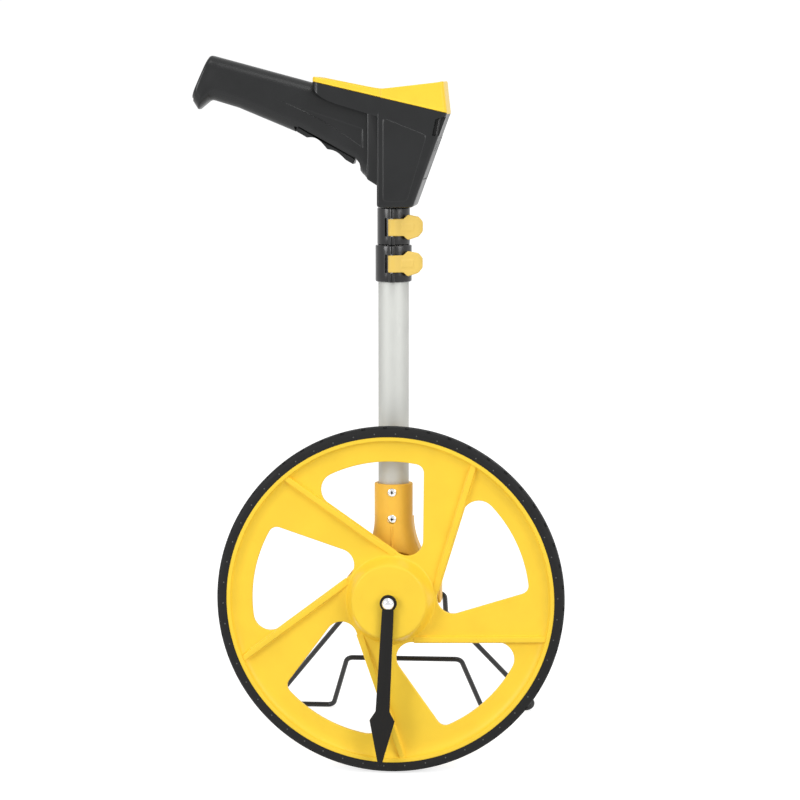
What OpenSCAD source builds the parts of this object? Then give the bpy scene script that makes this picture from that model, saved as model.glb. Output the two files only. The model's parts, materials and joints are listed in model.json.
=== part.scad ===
// Digital measuring wheel, parked on its wire stand with the tubes pushed in.
// Modules are drawn upright about the wheel centre: X is the rolling direction,
// Y points away from the pointer side, Z is up the tube. parked() leans the whole
// object back until the tyre and both stand feet meet the floor. Sizes in mm.

/* [Wheel] */
// tyre outside diameter, one metre round
wheel_d = 318.3; // [280:0.1:360]
// tyre width
tyre_w = 16.4; // [15:0.2:18]
// tyre thickness from seat to tread
tyre_t = 10.1; // [8:0.1:12]
// tyre shoulder rounding
shoulder_r = 4.8; // [3:0.1:6]
// shoulder notches on each side of the tread
notch_n = 50; // [20:1:60]
// notch width along the tread
notch_w = 3.2; // [2:0.1:5]
// depth of the two tread grooves
groove = 0.6; // [0.3:0.1:1.2]
// rim width over both lips
rim_w = 16; // [15:0.5:18]
// thickness of the rim lips
lip_t = 1.6; // [1:0.1:2.2]
// rim lip height above the tyre seat
lip_h = 1.05; // [0.5:0.05:2]
// rim wall thickness below the seat
rim_t = 2.65; // [2:0.05:4]
// front of the web ahead of the wheel mid-plane
web_front = 2; // [1:0.2:3]
// web thickness
web_t = 4.6; // [3:0.2:6]
// rib height above the web
rib_h = 4.6; // [2:0.2:5]
// rib width
rib_w = 5.8; // [4:0.1:7]
// step between a rib and the window beside it
rib_step = 0.3; // [0.2:0.05:0.6]

/* [Windows] */
// number of windows
win_n = 5; // [5:1:6]
// outer arc of the windows
win_r = 127; // [115:0.5:132]
// distance of the rib edge from the axle
win_rib = 39.5; // [36:0.5:46]
// direction of the rib edge, degrees
win_rib_a = 73; // [68:0.5:76]
// distance of the lower edge from the axle
win_low = 29.4; // [26:0.2:32]
// direction of the lower edge, degrees
win_low_a = 17.4; // [14:0.2:20]

/* [Hub] */
// hub boss radius
boss_r = 41; // [38:0.5:42]
// hub boss edge rounding
boss_edge = 5; // [2:0.5:6]
// front of the hub boss ahead of the wheel mid-plane
boss_front = 17.5; // [16:0.5:20]
// back of the hub behind the wheel mid-plane
hub_rear = 24; // [20:0.5:25]
// running gap between the hub and the spacers
hub_gap = 0.3; // [0.2:0.05:0.5]
// gap between the back of the hub and the axle boss of the bracket
hub_stand = 10; // [9:0.5:11]
// wall of the hub boss
boss_wall = 3.2; // [2:0.1:4]
// wall of the hub round the bearings
hub_wall = 3.5; // [2.5:0.1:5]
// bearing outside diameter
bearing_d = 22; // [20:0.5:24]
// bearing width
bearing_w = 7; // [5:0.5:8]
// wall of the sleeve between the bearings
sleeve_t = 2; // [1:0.1:2.5]
// thickness of the magnet ring
magnet_t = 2.5; // [2:0.1:3.5]
// axle diameter
axle_d = 8; // [7:0.5:9]
// wall of the spacers on the axle
spacer_t = 3; // [2:0.1:3.4]
// thickness of the axle nut
nut_t = 6.5; // [5:0.5:8]

/* [Pointer] */
// eye outside diameter
eye_d = 15.5; // [14:0.1:18]
// journal diameter that the eye turns on
journal_d = 10; // [9.5:0.1:10.4]
// arm width at the eye
arm_w0 = 9.9; // [8:0.1:12]
// arm width at the arrow head
arm_w1 = 11.8; // [10:0.1:14]
// arrow head width
arrow_w = 23; // [18:0.5:28]
// axle to the shoulder of the arrow head
arrow_from = 100; // [80:1:110]
// axle to the tip
pointer_len = 150.5; // [135:0.5:156]
// pointer thickness
pointer_t = 2.5; // [2:0.1:3]
// gap between the hub boss and the pointer
pointer_gap = 2.7; // [2:0.1:4]
// thickness of the axle cap below its dome
cap_t = 1.6; // [1.2:0.1:2]
// lip of the axle cap over the journal
cap_lip = 0.45; // [0.3:0.05:0.6]
// play of the pointer along the axle, each side
pointer_play = 0.2; // [0.1:0.05:0.4]
// angle between pointer and tube, degrees
pointer_a = 3; // [-10:0.5:10]

/* [Bracket] */
// tube axis behind the wheel mid-plane
tube_y = 33; // [32:0.5:36]
// wall of the tube socket
socket_t = 3.6; // [2.8:0.1:4.6]
// socket top above the axle
socket_top = 103.5; // [98:0.5:110]
// bottom of the tube above the axle
tube_bottom = 62; // [58:0.5:64]
// half width of the bell at the axle
bell_x = 44; // [40:0.5:46]
// front of the bell behind the wheel mid-plane
bell_y0 = 19; // [18:0.5:20]
// back of the bell
bell_y1 = 48.5; // [47:0.5:49]
// bell wall thickness
bell_t = 3; // [2.4:0.2:4]
// radius of the arch in the front wall
arch_r = 42; // [38:0.5:42]
// top of the bell
bell_top = 70; // [66:0.5:76]
// nose rib on the front of the bell, thickness
nose_t = 1.6; // [1.2:0.1:2.5]
// nose rib height
nose_h = 2.6; // [1.5:0.1:3]
// wall of the eyes that hold the stand
lug_t = 2.4; // [1.8:0.1:2.6]
// width of the eyes that hold the stand
lug_w = 14; // [10:0.5:14]
// socket screw diameter
screw_d = 3.2; // [2.5:0.1:4]
// socket screw head diameter
screw_head_d = 8; // [6:0.1:9]
// sensor board thickness
board_t = 1.6; // [1:0.1:2]
// half distance between the posts of the sensor board
board_x = 8; // [7:0.5:12]
// height of the posts of the sensor board above the axle
board_z = 22; // [21:0.5:24]
// bottom edge of the bell below the axle
bell_low = 7; // [5:0.5:10]

/* [Stand] */
// wire diameter
wire_d = 4.5; // [4:0.1:5.5]
// pivot behind the wheel mid-plane
stand_y = 54.5; // [54:0.5:58]
// pivot height against the axle
stand_z = -2.5; // [-4:0.5:1]
// angle of the stand behind straight down, degrees
stand_a = 36; // [30:0.5:42]
// half width at the pivots
stand_x0 = 45.6; // [43:0.2:48]
// straight run below the pivot
stand_s0 = 26; // [15:1:35]
// half width over the feet
stand_x1 = 129.5; // [110:0.5:135]
// pivot to foot along the stand
stand_s1 = 157; // [140:0.5:175]
// half width at the inner ends of the feet
stand_x2 = 72; // [62:0.5:80]
// half width of the bridge
stand_x3 = 54.2; // [48:0.5:58]
// pivot to bridge along the stand
stand_s3 = 91.5; // [80:0.5:105]
// set of the bridge to the front
bridge_set = 3; // [0:0.5:5]
// bend radius of the wire
bend_r = 7; // [5:0.5:9]
// inner end of the pivot studs
stud_x = 24.5; // [22:0.5:28]

/* [Tubes] */
// outer tube diameter
tube_d = 28; // [27:0.5:28.5]
// tube wall
tube_t = 1.2; // [1:0.1:1.3]
// outer tube top above the axle
tube_top = 318; // [300:1:319]
// step between the tube ends at the bottom
plug_step = 11; // [10.5:0.5:14]
// flange of the end plugs
plug_t = 5; // [3:0.5:6]
// sliding clearance between tubes, radial
tube_gap = 0.3; // [0.2:0.05:0.35]

/* [Collars] */
// bottom of the lower collar
collar_z0 = 289; // [280:0.5:295]
// joint between the collars
collar_z1 = 322.6; // [320:0.2:326]
// top of the upper collar
collar_z2 = 356.4; // [350:0.2:358]
// lip of a collar over the end of its tube
collar_lip = 3.5; // [2.5:0.5:4.5]
// gap between the two collars
collar_gap = 0.2; // [0.1:0.05:0.4]
// wall of the lower collar
collar_t0 = 2.6; // [2.2:0.1:3.4]
// wall of the upper collar
collar_t1 = 2.4; // [2.2:0.1:3]
// radius of the pin bead
bead_r = 3; // [2.6:0.1:3.2]
// lever pin axis outside the clamped tube
pin_out = 4.6; // [4.4:0.1:5]
// lever knuckle radius
knuckle_r = 3.3; // [3:0.1:3.6]
// lever pin diameter
lever_pin_d = 2.4; // [2:0.1:2.8]

/* [Levers] */
// lever thickness
lever_t = 3.2; // [2.6:0.1:4]
// half height of the lever stem
stem_h = 7.8; // [6:0.1:8.5]
// half height of the thumb pad
pad_h = 11.6; // [10:0.1:13]
// end of the thumb pad from the tube axis
pad_x = 27.2; // [24:0.2:30]
// centre of the lower lever
lever_z0 = 304.9; // [300:0.1:308]
// centre of the upper lever
lever_z1 = 338.9; // [334:0.1:342]

/* [Head] */
// bottom of the head above the axle
head_z = 357.2; // [357:0.2:362]
// head width
head_w = 56; // [52:0.5:60]
// rounding of the front edges
front_r = 4; // [3.5:0.5:7]
// rear wall of the head from the tube axis
head_rear = 12.9; // [12:0.1:15]
// bottom front corner from the tube axis
head_front = 19.6; // [18:0.1:22]
// slope of the front wall, degrees
front_a = 20; // [16:0.5:24]
// height of the front top corner of the head
front_h = 84.3; // [78:0.1:90]
// slope of the seat of the bezel, degrees
split_a = 12.3; // [10:0.1:14]
// rear tip of the key tray from the tube axis
tray_x = 71.5; // [66:0.5:76]
// shell wall thickness
shell_t = 2.6; // [2:0.1:3.2]
// neck between handle and head, width
neck_w = 42; // [36:0.5:46]
// rear of the neck from the tube axis
neck_x = 25.4; // [23:0.2:28]
// tube height inside the head
tube_in = 36; // [25:1:40]

/* [Shells] */
// depth of the strap notch
strap_in = 6.4; // [5:0.2:8]
// shell screw diameter
shell_screw_d = 3; // [2.5:0.1:3.2]
// margin of the battery door in the head width, each side
door_side = 5; // [4.5:0.1:5.5]
// battery door length
door_l = 40; // [38:0.5:41]
// middle of the battery door below the front top corner
door_drop = 40.3; // [39.8:0.1:42.3]
// gap round the battery door
door_gap = 0.3; // [0.2:0.05:0.5]
// battery diameter
cell_d = 10.5; // [9.5:0.1:11]
// battery length
cell_l = 44.5; // [42:0.5:45]
// battery spacing
cell_pitch = 13; // [12:0.5:14]
// battery axis behind the front wall
cell_in = 9.4; // [8.6:0.2:11]

/* [Bezel] */
// valley between keys and display from the tube axis
valley_x = 11; // [6:0.5:16]
// height of the valley over the bezel seat
valley_h = 5.9; // [4.6:0.1:7]
// rear edge height over the bezel seat
bezel_rear_h = 6.4; // [5:0.1:8]
// hood height over the bezel seat at the front
hood_h = 28.2; // [22:0.2:32]
// depth of the key recess
key_sink = 1.7; // [1.2:0.1:2]
// key diameter
key_d = 11; // [8:0.5:12]
// key height above the recess floor
key_h = 1.2; // [0.8:0.1:1.3]
// end of the key stems below the key plane
key_stem = 7.5; // [7:0.1:7.8]
// play of the key flange under the bezel
key_play = 0.2; // [0.1:0.05:0.4]
// thickness of the bezel over its hollow
bezel_t = 3.4; // [3:0.1:3.8]
// display window thickness
window_t = 1.2; // [1:0.1:1.3]
// display panel thickness
lcd_t = 2.6; // [1.5:0.1:3]
// main board length
board_l = 98; // [90:1:99]
// main board thickness
main_board_t = 1.6; // [1:0.1:2]
// bottom of the main board below the seat of the bezel
board_drop = 4.4; // [4:0.1:5.5]
// display window length along the slope
lcd_l = 40; // [34:0.5:44]
// display window width
lcd_w = 42; // [36:0.5:44]

/* [Handle] */
// handle width
grip_w = 34; // [30:0.5:38]
// handle rounding
grip_r = 12; // [8:0.5:14]
// slope of the handle top, degrees
grip_top_a = 15; // [13:0.2:17]
// rear top corner from the tube axis
grip_x = 167; // [155:0.5:176]
// handle top over the bezel seat at the rear of the key tray
grip_over = 0.96; // [0.5:0.02:3]
// trigger width
trigger_w = 26; // [22:0.5:27]
// trigger switch length
switch_l = 13; // [10:0.5:14]
// trigger switch width
switch_w = 8; // [6:0.5:10]
// trigger switch height
switch_h = 10; // [8:0.5:11]
// trigger pin diameter
trigger_pin_d = 3; // [2.5:0.1:3.4]

/* [Clearances] */
// running fit of shafts and pins, radial
run_fit = 0.05; // [0.02:0.01:0.09]
// gap between parts that swing past each other
swing_gap = 0.4; // [0.3:0.05:0.6]

/* [Hidden] */
$fn = 96;
reach = 2 * grip_x;
wheel_r = wheel_d / 2;
seat_r = wheel_r - tyre_t;
lip_r = seat_r + lip_h;
wall_r = seat_r - rim_t;
web_rear = -web_front + web_t;
mid_r = tube_d / 2 - tube_t - tube_gap;
inner_r = mid_r - tube_t - tube_gap;
collar_r0 = tube_d / 2 + collar_t0;
collar_r1 = mid_r + collar_t1;
socket_r = tube_d / 2 + socket_t;
mid_bottom = tube_bottom + plug_step;
inner_bottom = mid_bottom + plug_step;
journal_y0 = -(boss_front + pointer_gap);
journal_y1 = journal_y0 - pointer_t - 2 * pointer_play;
hub_r = bearing_d / 2 + hub_wall;
bearing_y0 = -boss_front + boss_wall;
bearing_y1 = hub_rear - bearing_w;
rear_boss_y = hub_rear + hub_stand;
board_y = rear_boss_y - 2;
mid_top = collar_z2 - collar_lip;
screw_seat_y = tube_y - socket_r + 0.7;
pin_p0 = tube_d / 2 + pin_out;
pin_p1 = mid_r + pin_out;
head_yn = tube_y - head_w / 2;
head_yf = tube_y + head_w / 2;
front_top = head_front + front_h * tan(front_a);
grip_h = split(-tray_x) + grip_over + (grip_x - tray_x) * tan(grip_top_a);
door_w = head_w - 2 * door_side;
door_z = front_h - door_drop;
main_board_w = head_w - 2 * shell_t - 2;
// stand foot and the lean that brings it to the floor with the tyre
foot_y = stand_y + stand_s1 * sin(stand_a);
foot_z = stand_z - stand_s1 * cos(stand_a);
sh_y = tyre_w / 2 - shoulder_r;
sh_z = -(wheel_r - shoulder_r);
foot_l = norm([foot_y - sh_y, foot_z - sh_z]);
lean = atan2(foot_z - sh_z, foot_y - sh_y) - asin((wire_d / 2 - shoulder_r) / foot_l);
rest_y = sh_y * cos(lean) + sh_z * sin(lean);
rest_z = sh_z * cos(lean) - sh_y * sin(lean) - shoulder_r;

yellow = [1.0, 0.80, 0.16];
amber = [0.95, 0.66, 0.18];
black = [0.10, 0.10, 0.11];
rubber = [0.08, 0.08, 0.085];
steel = [0.75, 0.76, 0.78];
silver = [0.82, 0.83, 0.83];
green = [0.08, 0.36, 0.18];

// corner rounding of a closed outline: each point is [x, y, radius]
function unit(v) = v / norm(v);
function bend(a, p, b, n) =
  let (q = [p[0], p[1]], u = unit([a[0], a[1]] - q), v = unit([b[0], b[1]] - q))
  let (h = acos(max(-1, min(1, u * v))) / 2, t = p[2] / tan(h))
  let (c = q + unit(u + v) * p[2] / sin(h), s = q + u * t - c, e = q + v * t - c)
  let (a0 = atan2(s[1], s[0]), d = atan2(e[1], e[0]) - a0)
  let (w = d > 180 ? d - 360 : d < -180 ? d + 360 : d)
  [for (i = [0:n]) c + p[2] * [cos(a0 + w * i / n), sin(a0 + w * i / n)]];
function rounded(p, n = 6) = let (m = len(p))
  [for (i = [0:m - 1]) each p[i][2] > 0
    ? bend(p[(i + m - 1) % m], p[i], p[(i + 1) % m], n) : [[p[i][0], p[i][1]]]];
function arc(c, r, a0, a1, n) =
  [for (i = [0:n]) c + r * [cos(a0 + (a1 - a0) * i / n), sin(a0 + (a1 - a0) * i / n)]];
// where n1 . p = d1 meets n2 . p = d2
function meet(n1, d1, n2, d2) = let (k = n1[0] * n2[1] - n1[1] * n2[0])
  [(d1 * n2[1] - d2 * n1[1]) / k, (n1[0] * d2 - n2[0] * d1) / k];

module parked() {
  translate([0, -rest_y, -rest_z])
    rotate([-lean, 0, 0])
      children();
}
// outline drawn in X and Z, filled from y0 to y1
module side(y0, y1) {
  translate([0, y1, 0])
    rotate([90, 0, 0])
      linear_extrude(y1 - y0)
        children();
}
// cylinder along Y from y0 to y1
module rod_y(r, y0, y1) {
  translate([0, y0, 0])
    rotate([-90, 0, 0])
      cylinder(r = r, h = y1 - y0);
}
module turned() {
  rotate([-90, 0, 0])
    rotate_extrude($fn = 180)
      children();
}

// wheel
module tyre_profile() {
  w = tyre_w / 2;
  b = rim_w / 2 - lip_t;
  g = lip_r + 0.1;
  c = w - shoulder_r;
  polygon(rounded([
    [seat_r, -b, 0], [g, -b, 0], [g, -w, 0], [wheel_r, -w, shoulder_r],
    [wheel_r, -c * 0.6, 0], [wheel_r - groove, -c * 0.45, 0], [wheel_r, -c * 0.3, 0],
    [wheel_r, c * 0.3, 0], [wheel_r - groove, c * 0.45, 0], [wheel_r, c * 0.6, 0],
    [wheel_r, w, shoulder_r], [g, w, 0], [g, b, 0], [seat_r, b, 0]], 8));
}
module tyre() {
  color(rubber)
    difference() {
      turned() tyre_profile();
      for (i = [0:notch_n - 1], s = [-1, 1])
        rotate([0, i * 360 / notch_n + 2, 0])
          translate([wheel_r - 0.3, s * (tyre_w / 2 - 2.6), 0])
            cube([3, 2.6, notch_w], center = true);
    }
}
function win_outline() =
  let (n1 = [sin(win_rib_a), -cos(win_rib_a)], t1 = [cos(win_rib_a), sin(win_rib_a)])
  let (n2 = [-sin(win_low_a), cos(win_low_a)], t2 = [cos(win_low_a), sin(win_low_a)])
  let (ri = 13, ro = 15.5, rl = 8)
  let (ci = meet(n1, win_rib + ri, n2, ri - win_low))
  let (do = win_rib + ro, co = do * n1 + sqrt(pow(win_r - ro, 2) - do * do) * t1)
  let (dl = rl - win_low, cl = dl * n2 + sqrt(pow(win_r - rl, 2) - dl * dl) * t2)
  let (ao = atan2(co[1], co[0]), al = atan2(cl[1], cl[0]))
  concat(arc([0, 0], win_r, al, ao, 24), arc(co, ro, ao, win_rib_a + 90, 8),
    arc(ci, ri, win_rib_a + 90, win_low_a + 270, 10), arc(cl, rl, win_low_a - 90, al, 6));
module rib() {
  intersection() {
    rotate([0, -win_rib_a, 0])
      translate([boss_r / 2, -web_front - rib_h, rib_step - win_rib])
        cube([wheel_r, rib_h + web_t / 2, rib_w - 2 * rib_step]);
    rod_y(wall_r + rim_t / 5, -rim_w / 2, rim_w / 2);
  }
}
module wheel_disc() {
  w = rim_w / 2;
  lw = w - lip_t;
  e = boss_front - boss_edge;
  hole_r = axle_d / 2 + swing_gap;
  color(yellow)
    difference() {
      union() {
        turned()
          polygon(concat([
            [bearing_d / 2, hub_rear], [bearing_d / 2, bearing_y0],
            [hole_r, bearing_y0], [hole_r, -boss_front]],
            arc([boss_r - boss_edge, -e], boss_edge, -90, 0, 8), [
            [boss_r + 0.6, -web_front - 1.5], [boss_r + 2.4, -web_front],
            [wall_r - 10, -web_front], [wall_r - 5, -web_front - 1],
            [wall_r - 2, -web_front - 3], [wall_r, -w], [lip_r, -w], [lip_r, -lw], [seat_r, -lw],
            [seat_r, lw], [lip_r, lw], [lip_r, w], [wall_r, w], [wall_r - 2, web_rear + 3],
            [wall_r - 5, web_rear + 1], [wall_r - 10, web_rear],
            [boss_r - boss_wall, web_rear],
            [boss_r - boss_wall, -e], [boss_r - boss_edge, bearing_y0],
            [hub_r, bearing_y0], [hub_r, hub_rear]]));
        for (i = [0:win_n - 1])
          rotate([0, -i * 360 / win_n, 0])
            rib();
      }
      for (i = [0:win_n - 1])
        rotate([0, -i * 360 / win_n, 0])
          side(-rim_w, rim_w) polygon(win_outline());
    }
}
module wheel_bearings() {
  color(steel)
    for (y = [bearing_y0, bearing_y1])
      difference() {
        rod_y(bearing_d / 2, y, y + bearing_w);
        rod_y(axle_d / 2 + run_fit, y - 1, y + bearing_w + 1);
      }
}
module bearing_sleeve() {
  color(silver)
    difference() {
      rod_y(bearing_d / 2, bearing_y0 + bearing_w, bearing_y1);
      rod_y(bearing_d / 2 - sleeve_t, bearing_y0, hub_rear);
    }
}
module magnet_ring() {
  color(black)
    difference() {
      rod_y(hub_r, hub_rear, hub_rear + magnet_t);
      rod_y(bearing_d / 2 - sleeve_t, hub_rear - 1, hub_rear + magnet_t + 1);
    }
}

// pointer and axle
module pointer() {
  a = arrow_from;
  p = pointer_len;
  y0 = journal_y1 + pointer_play;
  y1 = journal_y0 - pointer_play;
  color(black)
    rotate([0, pointer_a, 0])
      difference() {
        union() {
          rod_y(eye_d / 2, y0, y1);
          side(y0, y1)
            polygon(rounded([
              [-arm_w0 / 2, 0, 0], [-arm_w1 / 2, -a, 2], [-arrow_w / 2, -a - 8.5, 1.2],
              [-1.4, -p, 1], [1.4, -p, 1], [arrow_w / 2, -a - 8.5, 1.2],
              [arm_w1 / 2, -a, 2], [arm_w0 / 2, 0, 0]], 4));
        }
        rod_y(journal_d / 2 + run_fit, journal_y1 - 1, journal_y0 + 1);
      }
}
module axle() {
  color(steel)
    rod_y(axle_d / 2, journal_y1 - cap_t - 0.4, bell_y1 + nut_t + 1);
}
module axle_cap() {
  r = journal_d / 2 + cap_lip;
  y = journal_y1 - cap_t;
  dome = atan2(3, 4);
  color(steel)
    turned()
      polygon(concat([[axle_d / 2, y - 0.4], [axle_d / 2, journal_y1], [r, journal_y1]],
        arc([0, y + 0.75 * r], 1.25 * r, -dome, -90, 8), [[0, y - 0.4]]));
}
module axle_nut() {
  color(steel)
    difference() {
      translate([0, bell_y1, 0])
        rotate([-90, 0, 0])
          cylinder(r = axle_d * 0.94, h = nut_t, $fn = 6);
      rod_y(axle_d / 2, bell_y1 - 1, bell_y1 + nut_t + 2);
    }
}
module hub_spacers() {
  r = axle_d / 2 + spacer_t;
  color(steel)
    difference() {
      union() {
        rod_y(r, journal_y0, -boss_front - hub_gap);
        rod_y(journal_d / 2, journal_y1, journal_y0);
        rod_y(r, hub_rear + hub_gap, rear_boss_y);
      }
      rod_y(axle_d / 2, journal_y1 - 1, rear_boss_y + 1);
    }
}

// bracket behind the wheel
function bell_edge(o) = [for (i = [0:10]) let (t = i / 10)
  [socket_r - o + (bell_x - socket_r) * t * t, bell_top - (bell_top - 14) * t - o * 0.9]];
module bell_outline(o) {
  e = bell_edge(o);
  m = [for (i = [10:-1:0]) [-e[i][0], e[i][1]]];
  low = -bell_low - (o > 0 ? 2 : 0);
  polygon(concat(e, [[bell_x - o, low], [-bell_x + o, low]], m));
}
// eyes on the back of the bell that hold the stand
module stand_lugs() {
  r = wire_d / 2 + lug_t;
  for (s = [-1, 1]) {
    translate([s * (stud_x - 0.5), stand_y, stand_z])
      rotate([0, s * 90, 0])
        cylinder(r = r, h = lug_w);
    translate([s * (stud_x - 0.5 + lug_w / 2), (bell_y1 - 1 + stand_y) / 2, stand_z])
      cube([lug_w, stand_y - bell_y1 + 1, 2 * r], center = true);
  }
}
module axle_bracket() {
  color(amber)
    difference() {
      union() {
        difference() {
          union() {
            side(bell_y0, bell_y1) bell_outline(0);
            translate([0, tube_y, tube_bottom - bell_t])
              cylinder(r = socket_r, h = socket_top - tube_bottom + bell_t);
            translate([-nose_t / 2, bell_y0 - nose_h, arch_r - 1])
              cube([nose_t, nose_h + 1, tube_bottom - arch_r]);
          }
          side(bell_y0 + bell_t, bell_y1 - bell_t) bell_outline(bell_t);
          rod_y(arch_r, 0, bell_y0 + bell_t + 0.5);
        }
        rod_y(axle_d / 2 + spacer_t + 2, rear_boss_y, bell_y1);
        for (x = [-board_x, board_x])
          translate([x, 0, board_z])
            rod_y(2.6, board_y, bell_y1 - 1);
        stand_lugs();
      }
      translate([0, tube_y, tube_bottom])
        cylinder(r = tube_d / 2, h = socket_top);
      translate([0, tube_y, 0])
        cylinder(r = tube_d / 2 - 4, h = socket_top);
      rod_y(axle_d / 2, 0, bell_y1 + 1);
      translate([-bell_x, stand_y, stand_z])
        rotate([0, 90, 0])
          cylinder(r = wire_d / 2 + run_fit, h = 2 * bell_x);
      for (z = screw_z())
        translate([0, 0, z]) {
          rod_y(screw_d / 2, 0, tube_y);
          rod_y(screw_head_d / 2 + 0.3, 0, screw_seat_y);
        }
    }
}
function screw_z() = [socket_top - 7.2, socket_top - 31.9];
module socket_screws() {
  y = screw_seat_y;
  r = screw_head_d * 0.6;
  h = r - sqrt(r * r - pow(screw_head_d / 2, 2)) + 0.6;
  color(steel)
    for (z = screw_z())
      translate([0, 0, z])
        difference() {
          union() {
            rod_y(screw_d / 2, y - 0.5, tube_y - mid_r - 0.5);
            intersection() {
              translate([0, y + r - h, 0])
                sphere(r = r);
              rod_y(screw_head_d / 2, y - h - 1, y);
            }
          }
          for (a = [0, 90])
            rotate([0, a, 0])
              translate([0, y - h, 0])
                cube([screw_head_d * 0.42, 1.6, 0.9], center = true);
        }
}
module sensor_board() {
  color(green) {
    translate([-board_x - 5, board_y - board_t, board_z - 8.5])
      cube([2 * board_x + 10, board_t, 17]);
    translate([-2, board_y - board_t - 1.4, board_z - 8])
      cube([4, 1.5, 3]);
  }
}

// stand, bent in its own plane: X and distance along the stand
function wire_half(s) = let (x = [stud_x, stand_x0, stand_x0, stand_x1, stand_x2, stand_x3])
  let (d = [0, 0, stand_s0, stand_s1, stand_s1, stand_s3])
  [for (i = [0:5]) [s * x[i] + (i > 3 ? bridge_set : 0), d[i], i == 0 ? 0 : bend_r]];
function wire_corners() = let (r = wire_half(1), l = wire_half(-1))
  concat(r, [for (i = [len(l) - 1:-1:0]) l[i]]);
function wire_path() = let (c = wire_corners(), m = len(c) - 1)
  concat([[c[0][0], c[0][1]]], [for (i = [1:m - 1]) each bend(c[i - 1], c[i], c[i + 1], 6)],
    [[c[m][0], c[m][1]]]);
// round wire swept along a flat path; the path lies in X and -Z
module sweep_wire(p, d, n) {
  m = len(p) - 1;
  ring = [for (i = [0:m]) let (t = unit(p[min(i + 1, m)] - p[max(i - 1, 0)]))
    [for (k = [0:n - 1]) let (a = 360 * k / n, o = d / 2 * cos(a))
      [p[i][0] - t[1] * o, d / 2 * sin(a), -(p[i][1] + t[0] * o)]]];
  polyhedron([for (r = ring) each r], concat(
    [[for (k = [0:n - 1]) k]], [[for (k = [n - 1:-1:0]) m * n + k]],
    [for (i = [0:m - 1], k = [0:n - 1])
      [i * n + k, (i + 1) * n + k, (i + 1) * n + (k + 1) % n, i * n + (k + 1) % n]]));
}
module stand_wire() {
  color(black)
    translate([0, stand_y, stand_z])
      rotate([stand_a, 0, 0])
        sweep_wire(wire_path(), wire_d, 20);
}

// telescopic tube
module pipe(r, z0, z1) {
  translate([0, tube_y, z0])
    difference() {
      cylinder(r = r, h = z1 - z0);
      translate([0, 0, -1])
        cylinder(r = r - tube_t, h = z1 - z0 + 2);
    }
}
module outer_tube() {
  color(silver)
    difference() {
      pipe(tube_d / 2, tube_bottom, tube_top);
      for (z = screw_z())
        translate([0, 0, z])
          rod_y(screw_d / 2, 0, tube_y);
    }
}
module middle_tube() {
  color(silver) pipe(mid_r, mid_bottom, mid_top);
}
module inner_tube() {
  color(silver) pipe(inner_r, inner_bottom, head_z + tube_in);
}
module plug(r, z, spigot) {
  translate([0, tube_y, z])
    difference() {
      union() {
        cylinder(r = r, h = plug_t);
        cylinder(r = spigot, h = 2 * plug_t);
      }
      translate([0, 0, -1])
        cylinder(r = spigot - 3, h = 2 * plug_t + 2);
    }
}
module middle_plug() {
  color(black) plug(tube_d / 2 - tube_t - run_fit, mid_bottom - plug_t, mid_r - tube_t);
}
module inner_plug() {
  color(black) plug(mid_r - tube_t - run_fit, inner_bottom - plug_t, inner_r - tube_t);
}

// collars with their cam levers
module collar(r, bore, z0, z1, lip, p, zl) {
  difference() {
    union() {
      translate([0, 0, z0])
        rotate_extrude()
          polygon(rounded([[0, 0, 0], [r, 0, 1.2], [r, z1 - z0, 1], [0, z1 - z0, 0]], 4));
      intersection() {
        translate([0, -p, z0 + 0.4])
          cylinder(r = bead_r, h = z1 - z0 - 0.8);
        translate([-20, -40, z0])
          cube([40, 40, z1 - z0]);
      }
      translate([-bead_r, -p, z0 + 0.4])
        cube([2 * bead_r, p - bore, z1 - z0 - 0.8]);
    }
    translate([0, 0, z0 - 1])
      cylinder(r = bore, h = lip - z0 + 1);
    translate([0, 0, z0])
      cylinder(r = bore - tube_t - run_fit, h = z1 - z0 + 1);
    translate([0, -p, zl - stem_h - swing_gap])
      cylinder(r = knuckle_r + swing_gap, h = 2 * (stem_h + swing_gap));
    translate([-bead_r - 3.2, -p - 6, zl - stem_h - swing_gap])
      cube([2 * bead_r + 9, p + 6 - r - 0.1, 2 * (stem_h + swing_gap)]);
    translate([-bead_r - 3.2, -r - 1, zl - stem_h - swing_gap])
      cube([4, 3, 2 * (stem_h + swing_gap)]);
    translate([0, -p, z0 - 1])
      cylinder(d = lever_pin_d, h = z1 - z0 + 2);
  }
}
module lower_collar() {
  color(black)
    translate([0, tube_y, 0])
      difference() {
        collar(collar_r0, tube_d / 2, collar_z0, collar_z1 - collar_gap, tube_top, pin_p0, lever_z0);
        translate([0, 0, tube_top])
          cylinder(r = mid_r + run_fit, h = collar_z1 - tube_top);
      }
}
module upper_collar() {
  color(black)
    translate([0, tube_y, 0])
      difference() {
        collar(collar_r1, mid_r, collar_z1, collar_z2, mid_top, pin_p1, lever_z1);
        translate([0, 0, mid_top])
          cylinder(r = inner_r + run_fit, h = collar_lip + 1);
      }
}
module lever_pin(p, z0, z1) {
  color(steel)
    translate([0, tube_y - p, z0])
      cylinder(d = lever_pin_d, h = z1 - z0);
}
module lower_lever_pin() {
  lever_pin(pin_p0, collar_z0 + 0.4, collar_z1 - collar_gap - 0.4);
}
module upper_lever_pin() {
  lever_pin(pin_p1, collar_z1 + 0.4, collar_z2 - 0.4);
}
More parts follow.
